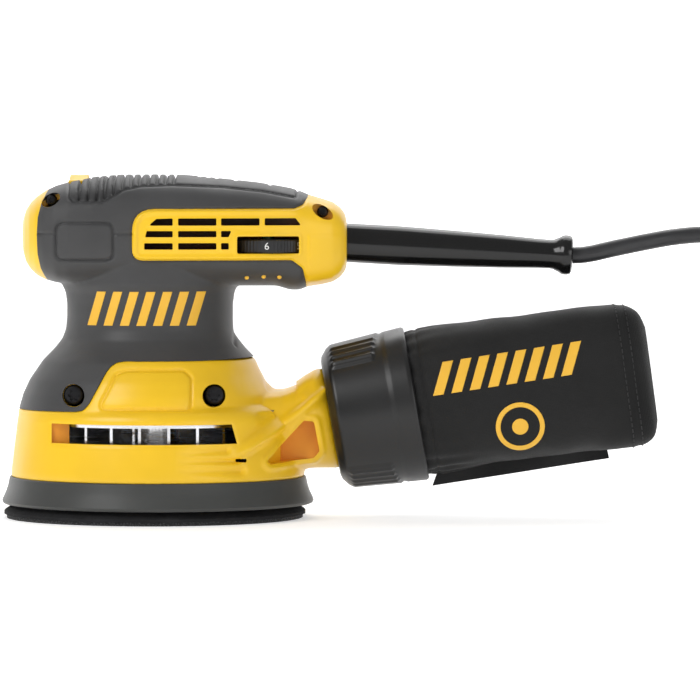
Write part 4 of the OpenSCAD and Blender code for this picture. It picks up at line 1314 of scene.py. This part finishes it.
    def shade_recesses(self, piece: bpy.types.Object) -> bpy.types.Object:
        """Give the faces deep in the gusset pocket and behind the window a painted shade, the darker yellow
        that stands in for shadow there.
        """
        piece.data.materials.append(WARDROBE[Looks.YELLOW_DEEP])
        count = len(piece.data.polygons)
        middle, normal = np.zeros(count * 3), np.zeros(count * 3)
        piece.data.polygons.foreach_get("center", middle)
        piece.data.polygons.foreach_get("normal", normal)
        middle, normal = middle.reshape(-1, 3) / MM, normal.reshape(-1, 3)
        flat, deep = middle[:, (0, 2)], np.abs(middle[:, 1])
        pocket = (distance_to(flat, rounded(Outline.GUSSET, 1.5)) < 0.05) & (deep < 19.5)
        cheek = (flat[:, 0] < -35.3) & (flat[:, 1] > 31) & (flat[:, 1] < 43.3) & (deep > 36.7) & (deep < 39.4)
        # Faces in these masks get the painted shade material; the rest keep the plain yellow.
        index = (pocket | (cheek & (np.abs(normal[:, 1]) > 0.9))).astype(np.int32)
        piece.data.polygons.foreach_set("material_index", index)
        return piece


@dataclass
class Skirt:
    """The rubber skirt round the shroud's foot."""

    profile: tuple[Point2, ...] = (
        (60.95, 5.9), (64.0, 5.9), (64.9, 6.3), (65.3, 7.2), (65.0, 8.2), (63.7, 11.0), (62.8, 13.8),
        (62.3, 16.2), (62.1, 17.0), (61.6, 17.4), (61.0, 17.2), (58.9, 16.9), (58.4, 20.8), (56.6, 20.8),
        (56.5, 16.2), (60.95, 7.6),
    )

    def build(self) -> bpy.types.Object:
        """Make the skirt."""
        piece = lathe("skirt_ring", self.profile, 192)
        return finish_piece(piece, Looks.SKIRT, "housing", ["skirt"])


@dataclass
class PadPieces:
    """The foam pad with its dust holes."""

    centre: float = -1.3
    profile: tuple[Point2, ...] = (
        (0, 1.5), (62.2, 1.5), (63.2, 1.7), (63.2, 2.9), (62.4, 3.7), (60.8, 4.7), (59.0, 5.7),
        (57.9, 7.0), (57.6, 8.0), (0, 8.0),
    )
    hole_circle: float = 65.0
    hole_d: float = 10.0
    holes: int = 8

    def build(self) -> bpy.types.Object:
        """Make the foam."""
        piece = lathe("foam_pad", self.profile, 220, (self.centre, 0, 0))
        for k in range(self.holes):
            turn = math.tau * k / self.holes
            ring, r = self.hole_circle / 2, self.hole_d / 2
            at = (self.centre + ring * math.cos(turn), ring * math.sin(turn), 0)
            combine(piece, lathe("dust_hole", [(0, -2), (r, -2), (r, 12), (0, 12)], 40, at), "DIFFERENCE")
        places = vertex_array(piece) / MM
        turn = np.arctan2(places[:, 1], places[:, 0] - self.centre)
        radius = np.hypot(places[:, 1], places[:, 0] - self.centre)
        rough = 0.16 * np.sin(turn * 61) * np.sin(turn * 23 + 1) * (radius > 61) * (places[:, 2] > 1.6)
        places[:, 2] += rough
        set_vertices(piece, places * MM)
        finish_piece(piece, Looks.FOAM, "pad", ["pad_foam"])
        return piece


@dataclass
class HousingScrews:
    """Socketed screws that close the housing."""

    head_d: float = 8.4
    shank_d: float = 3.9

    def screw(self, place: ScrewPlace) -> bpy.types.Object:
        """Return one screw with its star socket, standing in its pocket."""
        r = min(self.head_d / 2, place.pocket[1] - 0.15)
        one = lathe("screw", [(0, -14 + place.seat), (1.9, -14 + place.seat), (self.shank_d / 2, 0), (r, 0),
                              (r, 2.2), (r - 0.5, 2.9), (r - 1.2, 3.1), (0, 3.1)], 48)
        star = []
        for k in range(48):
            turn = math.tau * k / 48
            reach = 0.5 * r + 0.1 * r * math.cos(6 * turn)
            star.append((reach * math.cos(turn), reach * math.sin(turn)))
        socket = prism("socket", star, -5, -1.2)
        socket.data.transform(Matrix.Rotation(math.radians(-90), 4, "X"))
        combine(one, socket, "DIFFERENCE")
        one.data.transform(placing((place.x, place.seat, place.z), 90, "X"))
        return one

    def build(self) -> bpy.types.Object:
        """Make all four as one piece."""
        whole = united(self.screw(place) for place in SCREWS)
        whole.name = "housing_screw_set"
        return finish_piece(whole, Looks.SCREW, "housing", ["housing_screws"])


@dataclass
class Rocker:
    """The two-ended switch rocker under its soft boot."""

    x: float = -33.0
    z: float = 137.9

    def build(self) -> bpy.types.Object:
        """Make the rocker."""
        outline = [
            (-9.9, -0.6), (0, -2.3), (9.9, -0.6), (9.6, 4.6), (5.5, 4.4), (0, 2.9), (-5.5, 4.4), (-9.6, 4.6)
        ]
        mesh = bmesh.new()
        face = mesh.faces.new([mesh.verts.new((-4 * MM, y * MM, z * MM)) for y, z in outline])
        grown = bmesh.ops.extrude_face_region(mesh, geom=[face])
        bmesh.ops.translate(
            mesh, verts=[v for v in grown["geom"] if isinstance(v, bmesh.types.BMVert)], vec=(8 * MM, 0, 0)
        )
        bmesh.ops.bevel(
            mesh, geom=list(mesh.edges), offset=0.7 * MM, segments=3, profile=0.5, affect="EDGES", material=-1
        )
        bmesh.ops.transform(mesh, matrix=placing((self.x, 0, self.z), 7, "X"), verts=mesh.verts)
        piece = new_object("rocker_cap", mesh)
        return finish_piece(piece, Looks.YELLOW, "rocker", ["switch_rocker"])


@dataclass
class SpeedDial:
    """The knurled thumb wheel with its numbers."""

    centre: tuple[float, float, float] = (46.2, -19.033, 111.3)
    radius: float = 15.0
    height: float = 5.6

    def build(self) -> bpy.types.Object:
        """Make the wheel and print its numbers round the rim."""
        r, h = self.radius, self.height
        piece = lathe(
            "thumb_wheel", [(2.55, 0), (r - 0.5, 0), (r, 0.5), (r, h - 0.5), (r - 0.5, h), (2.55, h)], 240
        )
        places = vertex_array(piece) / MM
        turn = np.arctan2(places[:, 1], places[:, 0])
        radius = np.hypot(places[:, 0], places[:, 1])
        band = (radius > r - 0.6) * (np.abs(((np.degrees(turn) + 360) % 60) - 30) > 9)
        places[:, :2] *= (1 - 0.028 * band * (np.sin(turn * 60) > 0))[:, None]
        set_vertices(piece, places * MM)
        piece.data.transform(Matrix.Translation(Vector(self.centre) * MM))
        finish_piece(piece, Looks.BLACK, "dial", ["speed_dial"])
        self.numbers()
        return piece

    def numbers(self) -> None:
        """Print one to six round the rim, with the six at the window."""
        for figure in range(1, 7):
            data = bpy.data.curves.new("figure", "FONT")
            data.body = str(figure)
            data.size = 4.2 * MM
            data.extrude = 0.06 * MM
            data.align_x = "CENTER"
            data.align_y = "CENTER"
            letter = linked("figure", data)
            graph = bpy.context.evaluated_depsgraph_get()
            mesh = bpy.data.meshes.new_from_object(letter.evaluated_get(graph))
            bpy.data.objects.remove(letter, do_unlink=True)
            turn = math.radians(-90 + (figure - 6) * -60)
            stand = Matrix.Rotation(turn + math.pi / 2, 4, "Z") @ Matrix.Translation(
                (0, -(self.radius + 0.02) * MM, self.height / 2 * MM)
            ) @ Matrix.Rotation(math.pi / 2, 4, "X")
            mesh.transform(Matrix.Translation(Vector(self.centre) * MM) @ stand)
            piece = linked(f"dial_figure_{figure}", mesh)
            finish_piece(piece, Looks.PRINT_WHITE, "dial")


@dataclass
class LockingCollar:
    """The ribbed twist collar that holds the bag on the spigot."""

    profile: tuple[Point2, ...] = (
        (23.2, -2.6), (24.2, -3.2), (26.0, -2.7), (29.0, -0.3), (29.6, 0.6), (31.4, 23.0), (31.9, 24.2),
        (32.5, 32.0), (32.2, 32.8), (31.6, 33.2), (30.2, 33.2), (30.2, 31.0), (29.9, 26.0), (28.0, 2.6),
        (23.4, 2.0),
    )
    ribs: tuple[float, ...] = (-40, -33, -26, -19, 19, 26, 33, 40)

    def build(self) -> bpy.types.Object:
        """Make the collar: a lathe with two ribbed pads, top and bottom."""
        fine = []
        for (r1, z1), (r2, z2) in zip(self.profile, self.profile[1:] + self.profile[:1]):
            count = max(1, int(math.hypot(r2 - r1, z2 - z1) / 0.8))
            fine += [(r1 + (r2 - r1) * k / count, z1 + (z2 - z1) * k / count) for k in range(count)]
        piece = lathe("locking_collar_ring", fine, 420)
        places = vertex_array(piece) / MM
        turn = np.degrees(np.arctan2(places[:, 1], places[:, 0]))
        radius = np.hypot(places[:, 0], places[:, 1])
        high = places[:, 2]
        outer = (radius > 29.3 + high * 0.078) & (high > 0.3) & (high < 26)
        lift = np.zeros(len(places))
        for middle in (0, 180):
            off = (turn - middle + 180) % 360 - 180
            edge = np.clip((46 - np.abs(off)) / 2, 0, 1)
            stop = np.clip((22.5 - 0.08 * np.abs(off) - high) / 0.8, 0, 1) * np.clip((high - 0.8) / 0.8, 0, 1)
            lift += 0.7 * edge * stop
            for rib in self.ribs:
                lift += 0.65 * np.exp(-(((off - rib) / 1.7) ** 2)) * stop
        places[:, :2] *= (1 + lift * outer / radius)[:, None]
        set_vertices(piece, places * MM)
        piece.data.transform(ShroudPiece().at_outlet() @ Matrix.Rotation(math.pi, 4, "Z"))
        piece.data.set_sharp_from_angle(angle=math.radians(32))
        return finish_piece(piece, Looks.COLLAR, "collar", ["locking_collar"])


@dataclass
class DustBag:
    """The sewn cloth bag, its closing strip and its printed marks."""

    stations: tuple[tuple[float, float, float, float, float, float, float], ...] = (
        # along the middle: x, z, lean in degrees, half height, half width, power, fullness
        (107.4, 47.4, 9.9, 29.6, 29.6, 2.0, 0.0),
        (110.4, 48.0, 9.9, 30.3, 30.3, 2.0, 0.2),
        (114.5, 48.9, 9.8, 30.6, 30.8, 2.05, 0.5),
        (120.0, 50.0, 9.6, 30.6, 31.0, 2.15, 0.8),
        (130.0, 51.5, 9.4, 30.2, 30.8, 2.3, 1.0),
        (142.0, 53.1, 9.0, 30.0, 30.2, 2.45, 1.0),
        (154.0, 54.7, 8.8, 29.9, 29.4, 2.6, 1.0),
        (166.0, 56.2, 8.5, 29.9, 28.4, 2.8, 1.0),
        (177.0, 57.5, 8.2, 30.0, 27.2, 3.0, 1.0),
        (187.0, 58.5, 8.0, 30.2, 25.6, 3.3, 1.0),
        (195.0, 59.2, 7.9, 30.2, 23.4, 3.6, 0.8),
        (200.5, 59.6, 7.8, 29.2, 20.4, 3.8, 0.5),
        (204.2, 59.9, 7.8, 27.0, 16.4, 4.0, 0.2),
        (206.2, 60.0, 7.8, 24.0, 11.5, 4.0, 0.0),
        (206.9, 60.1, 7.8, 20.0, 6.0, 4.0, 0.0),
    )
    around: int = 240
    slices: int = 130
    cloth_t: float = 0.9
    ring_at: Point2 = (151.3, 39.2)
    ring_radii: tuple[float, float, float] = (10.2, 8.2, 3.4)

    def surface(self) -> tuple[np.ndarray, np.ndarray]:
        """Return the grid of points and its UV, both in millimetres."""
        rows = np.array(self.stations)
        travel = np.concatenate([[0], np.cumsum(np.hypot(np.diff(rows[:, 0]), np.diff(rows[:, 1])))])
        at = np.linspace(0, travel[-1], self.slices)
        x, z, lean, high, wide, power, full = (np.interp(at, travel, rows[:, k]) for k in range(7))
        for _ in range(3):
            for line in (high, wide):
                line[1:-1] = 0.25 * line[:-2] + 0.5 * line[1:-1] + 0.25 * line[2:]
        turn = np.linspace(0, math.tau, self.around, endpoint=False)
        c, s = np.cos(turn)[None, :], np.sin(turn)[None, :]
        p = (2 / power)[:, None]
        across = wide[:, None] * np.sign(c) * np.abs(c) ** p
        up = high[:, None] * np.sign(s) * np.abs(s) ** p
        along = at[:, None] / travel[-1]
        rng = np.random.default_rng(7)
        puff = np.zeros_like(across)
        for _ in range(14):
            k, j = rng.integers(1, 6), rng.uniform(1.0, 5.5)
            a, b = rng.uniform(0, math.tau, 2)
            height = rng.uniform(0.02, 0.055)
            puff += height * np.sin(k * turn[None, :] + a) * np.sin(j * math.tau * along + b)
        waves = 0.45 * np.sin(21 * turn + 0.6) + 0.35 * np.sin(13 * turn + 2.0)
        gather = np.exp(-along / 0.09) * waves[None, :]
        low_fold = np.exp(-(((turn - 1.5 * math.pi) / 0.5) ** 2))[None, :]
        gather += low_fold * np.exp(-(((along - 0.1) / 0.09) ** 2)) * 1.2 * np.sin(26 * turn)[None, :]
        seam = -0.15 * np.exp(-(((along - 0.905) / 0.007) ** 2))
        seam = seam - 0.5 * np.exp(-(((along - 0.055) / 0.008) ** 2))
        side_seam = -0.5 * np.exp(-(((turn - 0.5 * math.pi) / 0.03) ** 2))[None, :]
        push = full[:, None] * puff * 2.2 + gather + seam + side_seam * np.clip(along * 12, 0, 1)
        length = np.hypot(across, up)
        across, up = across * (1 + push / length), up * (1 + push / length)
        lean = np.radians(lean)[:, None]
        grid = np.stack([x[:, None] - up * np.sin(lean), across, z[:, None] + up * np.cos(lean)], -1)
        ring = np.linalg.norm(np.roll(grid, -1, 1) - grid, axis=-1)
        u = np.cumsum(ring, 1) - ring
        v = np.repeat(at[:, None], self.around, 1)
        return grid, np.stack([u, v], -1)

    def cloth(self) -> bpy.types.Object:
        """Make the cloth: an open-mouthed shell with a real thickness."""
        grid, uv = self.surface()
        mesh = bmesh.new()
        layer = mesh.loops.layers.uv.new("cloth")
        loops = []
        for row in grid:
            made = bmesh.ops.create_circle(mesh, cap_ends=False, radius=1, segments=self.around)["verts"]
            for vert, place in zip(made, row):
                vert.co = Vector(place) * MM
            loops.append(made)
        for first, second in zip(loops, loops[1:]):
            bmesh.ops.bridge_loops(mesh, edges=ring_edges(first) + ring_edges(second))
        where = {vert: (i, j) for i, loop in enumerate(loops) for j, vert in enumerate(loop)}
        middle = mesh.verts.new(Vector(grid[-1].mean(0) + np.array((0.2, 0, 0))) * MM)
        for k in range(self.around):
            mesh.faces.new((loops[-1][k], loops[-1][(k + 1) % self.around], middle))
        for face in mesh.faces:
            spots = [where.get(loop.vert) for loop in face.loops]
            wraps = {0, self.around - 1} <= {spot[1] for spot in spots if spot}
            for loop, spot in zip(face.loops, spots):
                i, j = spot or (self.slices - 1, 0)
                u, v = uv[i, j]
                if wraps and j == 0:
                    u = uv[i, -1][0] + 0.8
                loop[layer].uv = (u * MM, v * MM)
        piece = new_object("bag_cloth_shell", mesh)
        wall = piece.modifiers.new("cloth", "SOLIDIFY")
        wall.thickness = self.cloth_t * MM
        wall.offset = -1
        apply_modifiers(piece)
        return piece

    def stitches(self) -> bpy.types.Object:
        """Make the two rows of stitches beside the far seam."""
        grid, _ = self.surface()
        mesh = bmesh.new()
        for share in (0.885, 0.925):
            row = grid[int(share * (self.slices - 1))]
            lengths = np.concatenate([[0], np.cumsum(np.linalg.norm(np.diff(row, axis=0), axis=1))])
            for start in np.arange(0, lengths[-1] - 2, 2.6):
                ends = [
                    Vector([np.interp(d, lengths, row[:, k]) for k in range(3)]) for d in (start, start + 1.7)
                ]
                span = ends[1] - ends[0]
                turn = span.to_track_quat("X", "Z").to_matrix().to_4x4()
                centre = (ends[0] + ends[1]) / 2
                out = Vector((0, centre.y, centre.z - 59.0)).normalized() * 0.12
                made = bmesh.ops.create_cube(mesh, size=1)["verts"]
                grow = Matrix.Diagonal((span.length, 0.42, 0.42, 1))
                bmesh.ops.transform(mesh, matrix=Matrix.Translation(centre + out) @ turn @ grow, verts=made)
        bmesh.ops.scale(mesh, vec=(MM, MM, MM), verts=mesh.verts)
        piece = new_object("bag_stitches", mesh, smooth=False)
        return finish_piece(piece, Looks.THREAD, "dust_bag")

    def closing(self) -> bpy.types.Object:
        """Make the closing strip under the bag."""
        top = [(118.2, 21.4), (188.3, 29.4)]
        low = [(115.2, 13.0), (189.4, 24.6)]
        mesh = bmesh.new()
        rows, columns = 14, 90
        thick = 2.0
        grids = []
        for face_side in (-1, 1):
            cells = []
            for i in range(rows):
                a = i / (rows - 1)
                line = []
                for j in range(columns):
                    b = j / (columns - 1)
                    x, z = (
                        (1 - a) * (low[0][n] + b * (low[1][n] - low[0][n]))
                        + a * (top[0][n] + b * (top[1][n] - top[0][n]))
                        for n in (0, 1)
                    )
                    wave = 0.5 * math.sin(9 * b + 1) * (1 - a)
                    line.append(mesh.verts.new(Vector((x, face_side * thick / 2 + wave, z)) * MM))
                cells.append(line)
            grids.append(cells)
        for cells in grids:
            for i in range(rows - 1):
                for j in range(columns - 1):
                    mesh.faces.new((cells[i][j], cells[i][j + 1], cells[i + 1][j + 1], cells[i + 1][j]))
        near, far = grids
        rim = [(i, 0) for i in range(rows)] + [(rows - 1, j) for j in range(1, columns)]
        rim += [(i, columns - 1) for i in range(rows - 2, -1, -1)]
        rim += [(0, j) for j in range(columns - 2, 0, -1)]
        for (i, j), (k, m) in zip(rim, rim[1:] + rim[:1]):
            mesh.faces.new((near[i][j], near[k][m], far[k][m], far[i][j]))
        piece = new_object("bag_closing_strip", mesh)
        return finish_piece(piece, Looks.EDGE, "dust_bag", ["bag_closure"])

    def marks(self, cloth: bpy.types.Object) -> None:
        """Print a row of plain slanted bars and a plain ring with a dot, on both sides."""
        skin = raised_skin(cloth, "skin")
        slope = math.tan(math.radians(8.6))

        def tilted(x0: float, x1: float, low: float, high: float, slant: float = 0.0) -> list[Point2]:
            base = 52.6
            return [
                (x0, base + low + (x0 - 113) * slope), (x0 + slant, base + high + (x0 + slant - 113) * slope),
                (x1 + slant, base + high + (x1 + slant - 113) * slope), (x1, base + low + (x1 - 113) * slope),
            ]

        starts = [115.0 + k * 7.6 for k in range(8)]
        bars = [tilted(start, start + 4.4, -0.8, 12.6, 4.0) for start in starts]
        outer_r, inner_r, dot_r = self.ring_radii
        for side in (-1, 1):
            low, high = sorted((side * 8.0, side * 60.0))
            tool = united(prism("bar", outline, low, high) for outline in bars)
            ring = prism("ring", oval(*self.ring_at, outer_r, outer_r, 0, 72), low, high)
            hole = prism("ring_hole", oval(*self.ring_at, inner_r, inner_r, 0, 72), low, high)
            combine(ring, hole, "DIFFERENCE")
            combine(ring, prism("ring_dot", oval(*self.ring_at, dot_r, dot_r, 0, 40), low, high), "UNION")
            combine(tool, ring, "UNION")
            printed = copy_of(skin, "bag_print_" + ("near" if side < 0 else "far"))
            combine(printed, tool, "INTERSECT")
            finish_piece(printed, Looks.PRINT, "dust_bag")
        remove_piece(skin)

    def build(self) -> bpy.types.Object:
        """Make the bag and everything sewn or printed on it."""
        cloth = self.cloth()
        finish_piece(cloth, Looks.CLOTH, "dust_bag", ["bag_fabric"])
        stitches = self.stitches()
        strip = self.closing()
        self.marks(cloth)
        grid, _ = self.surface()
        ring = np.linalg.norm(np.roll(grid, -1, 1) - grid, axis=-1).sum(1)
        travel = np.linalg.norm(np.diff(grid[:, 0], axis=0), axis=-1).sum()
        spread = np.linalg.norm(grid[1:, :] - grid[:-1, :], axis=-1)
        area = float((0.5 * (ring[1:] + ring[:-1]) * spread.mean(1)).sum()) * MM * MM
        return cloth


@dataclass
class StrainRelief:
    """The glossy tapering boot round the lead."""

    start: tuple[float, float, float] = (79.4, 0.0, 115.0)
    droop: float = 3.2
    profile: tuple[Point2, ...] = (
        (3.7, -8.5), (10.6, -8.5), (10.6, -5.5), (8.15, -5.3), (8.15, 0), (8.2, 22), (7.6, 45), (6.9, 65),
        (6.15, 80), (6.05, 85), (6.2, 86.5), (7.4, 89.2), (8.1, 90.2), (8.3, 91.2), (8.3, 92.6),
        (7.9, 93.9), (6.8, 94.5), (4.3, 94.5), (3.7, 93.5),
    )

    def build(self) -> bpy.types.Object:
        """Make the boot."""
        piece = lathe("lead_boot", self.profile, 96)
        piece.data.transform(placing(self.start, 90 + self.droop, "Y"))
        return finish_piece(piece, Looks.RELIEF, "housing", ["strain_relief"])


@dataclass
class MainsPlug:
    """The moulded plug body: a tapered boot into a soft-edged block."""

    start: tuple[float, float, float] = (351.5, 22.0, 37.0)

    def build(self) -> bpy.types.Object:
        """Make the plug body."""
        boot = lathe("plug_boot", [(3.4, 0.2), (4.3, 0.2), (4.6, 0.6), (6.9, 13), (6.9, 15), (3.4, 15)], 64)
        for high in (2.6, 5.2, 7.8):
            inner = 4.5 + high / 6
            ring = lathe("ring", [(inner, high), (9, high), (9, high + 1.0), (inner, high + 1.0)], 64)
            combine(boot, ring, "DIFFERENCE")
        mesh = bmesh.new()
        bmesh.ops.create_cube(mesh, size=1)
        bmesh.ops.scale(mesh, vec=(23.8 * MM, 17.8 * MM, 19.8 * MM), verts=mesh.verts)
        bmesh.ops.translate(mesh, verts=mesh.verts, vec=(0, 0, 24.0 * MM))
        bmesh.ops.bevel(
            mesh, geom=list(mesh.edges), offset=2.6 * MM, segments=5, profile=0.5, affect="EDGES", material=-1
        )
        block = new_object("plug_block", mesh)
        combine(boot, block, "UNION")
        boot.data.transform(placing(self.start, -90, "X"))
        boot.name = "mains_plug"
        return finish_piece(boot, Looks.RELIEF, "housing", ["plug_body"])


@dataclass
class NeckMarks:
    """A row of plain slanted bars, raised a hair on both sides of the neck."""

    low: float = 81.3
    high: float = 95.4
    left: float = -29.5

    def build(self, outer: bpy.types.Object) -> None:
        """Make the marks from the worked outer form, which is left as it is."""
        skin = raised_skin(outer, "neck_skin")
        inside = lathe("neck_inside", [(0, 70), (33.6, 70), (33.6, 110), (0, 110)], 96, (-3.2, 0, 0))
        outlines = []
        for k in range(7):
            start = self.left + 1.0 + k * 6.9
            outlines.append([(start, self.low), (start + 4.2, self.high), (start + 8.0, self.high),
                             (start + 3.8, self.low)])
        for side in (-1, 1):
            low, high = sorted((side * 5.0, side * 60.0))
            tool = united(prism("bar", outline, low, high) for outline in outlines)
            printed = copy_of(skin, "neck_print_" + ("near" if side < 0 else "far"))
            combine(printed, tool, "INTERSECT")
            combine(printed, inside, "DIFFERENCE", keep=True)
            finish_piece(printed, Looks.PRINT, "housing")
        remove_piece(skin)
        remove_piece(inside)


@dataclass
class RailDots:
    """Three small moulded dots under the handle's rear."""

    places: tuple[Point2, ...] = ((37.8, 101.2), (44.8, 101.6), (51.3, 101.4))
    radius: float = 0.95

    def build(self, outer: bpy.types.Object) -> None:
        """Set the dots into the grip on both sides."""
        mesh = bmesh.new()
        for x, z in self.places:
            for side in (-1, 1):
                start = Vector((x, side * 60, z)) * MM
                hit, spot, _, _ = outer.ray_cast(start, Vector((0, -side, 0)))
                if hit:
                    dot = bmesh.ops.create_uvsphere(
                        mesh, u_segments=20, v_segments=12, radius=self.radius * MM
                    )
                    bmesh.ops.translate(mesh, verts=dot["verts"], vec=spot)
        piece = new_object("rail_dots", mesh)
        finish_piece(piece, Looks.PRINT, "housing")


# ---------------------------------------------------------------- CAD nodes that stay


CARRIED = {
    "hook_face": Looks.HOOK, "pad_foam": Looks.FOAM, "backing_plate": Looks.BLACK,
    "pad_spindle": Looks.STEEL, "pad_screws": Looks.STEEL, "pad_bearing": Looks.STEEL,
    "balance_weight": Looks.CAST, "fan": Looks.FAN, "motor_shaft": Looks.STEEL,
    "armature_core": Looks.PLATES, "armature_windings": Looks.COPPER, "commutator": Looks.COPPER,
    "lower_bearing": Looks.STEEL, "upper_bearing": Looks.STEEL, "bearing_bracket": Looks.CAST,
    "stator_core": Looks.PLATES, "field_coils": Looks.COPPER, "brush_holders": Looks.BRASS,
    "carbon_brushes": Looks.CARBON, "brush_springs": Looks.STEEL, "skirt": Looks.SKIRT,
    "shroud": Looks.YELLOW, "housing_left": Looks.YELLOW, "housing_right": Looks.YELLOW,
    "grip_left": Looks.GRIP, "grip_right": Looks.GRIP, "palm_cover": Looks.GRIP,
    "switch_body": Looks.BLACK, "switch_rocker": Looks.YELLOW, "speed_module": Looks.BOARD,
    "speed_dial": Looks.BLACK, "terminal_block": Looks.WHITE, "cord_clamp": Looks.BLACK,
    "clamp_screws": Looks.STEEL, "housing_screws": Looks.SCREW, "outlet_seal": Looks.SEAL,
    "bag_neck": Looks.BLACK, "bag_fabric": Looks.CLOTH, "bag_closure": Looks.EDGE,
    "locking_collar": Looks.COLLAR, "strain_relief": Looks.RELIEF, "cord_lead": Looks.JACKET,
    "cord_tube": Looks.JACKET, "cord_coil": Looks.JACKET, "cord_tail": Looks.JACKET,
    "plug_body": Looks.RELIEF, "plug_pins": Looks.BRASS,
}


def dress_carried() -> None:
    """Give every CAD node its finish, shown or not."""
    for name, look in CARRIED.items():
        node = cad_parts[name]
        node.data.materials.clear()
        node.data.materials.append(WARDROBE[look])


def main() -> None:
    """Build the studio, the cord and every piece, in that order."""
    Studio().build()
    MainsLead().build()
    dress_carried()
    outer = Shells().build()
    NeckMarks().build(outer)
    RailDots().build(outer)
    ShroudPiece().build(outer)
    Skirt().build()
    PadPieces().build()
    HousingScrews().build()
    Rocker().build()
    SpeedDial().build()
    LockingCollar().build()
    DustBag().build()
    StrainRelief().build()


if __name__ == "__main__":
    main()
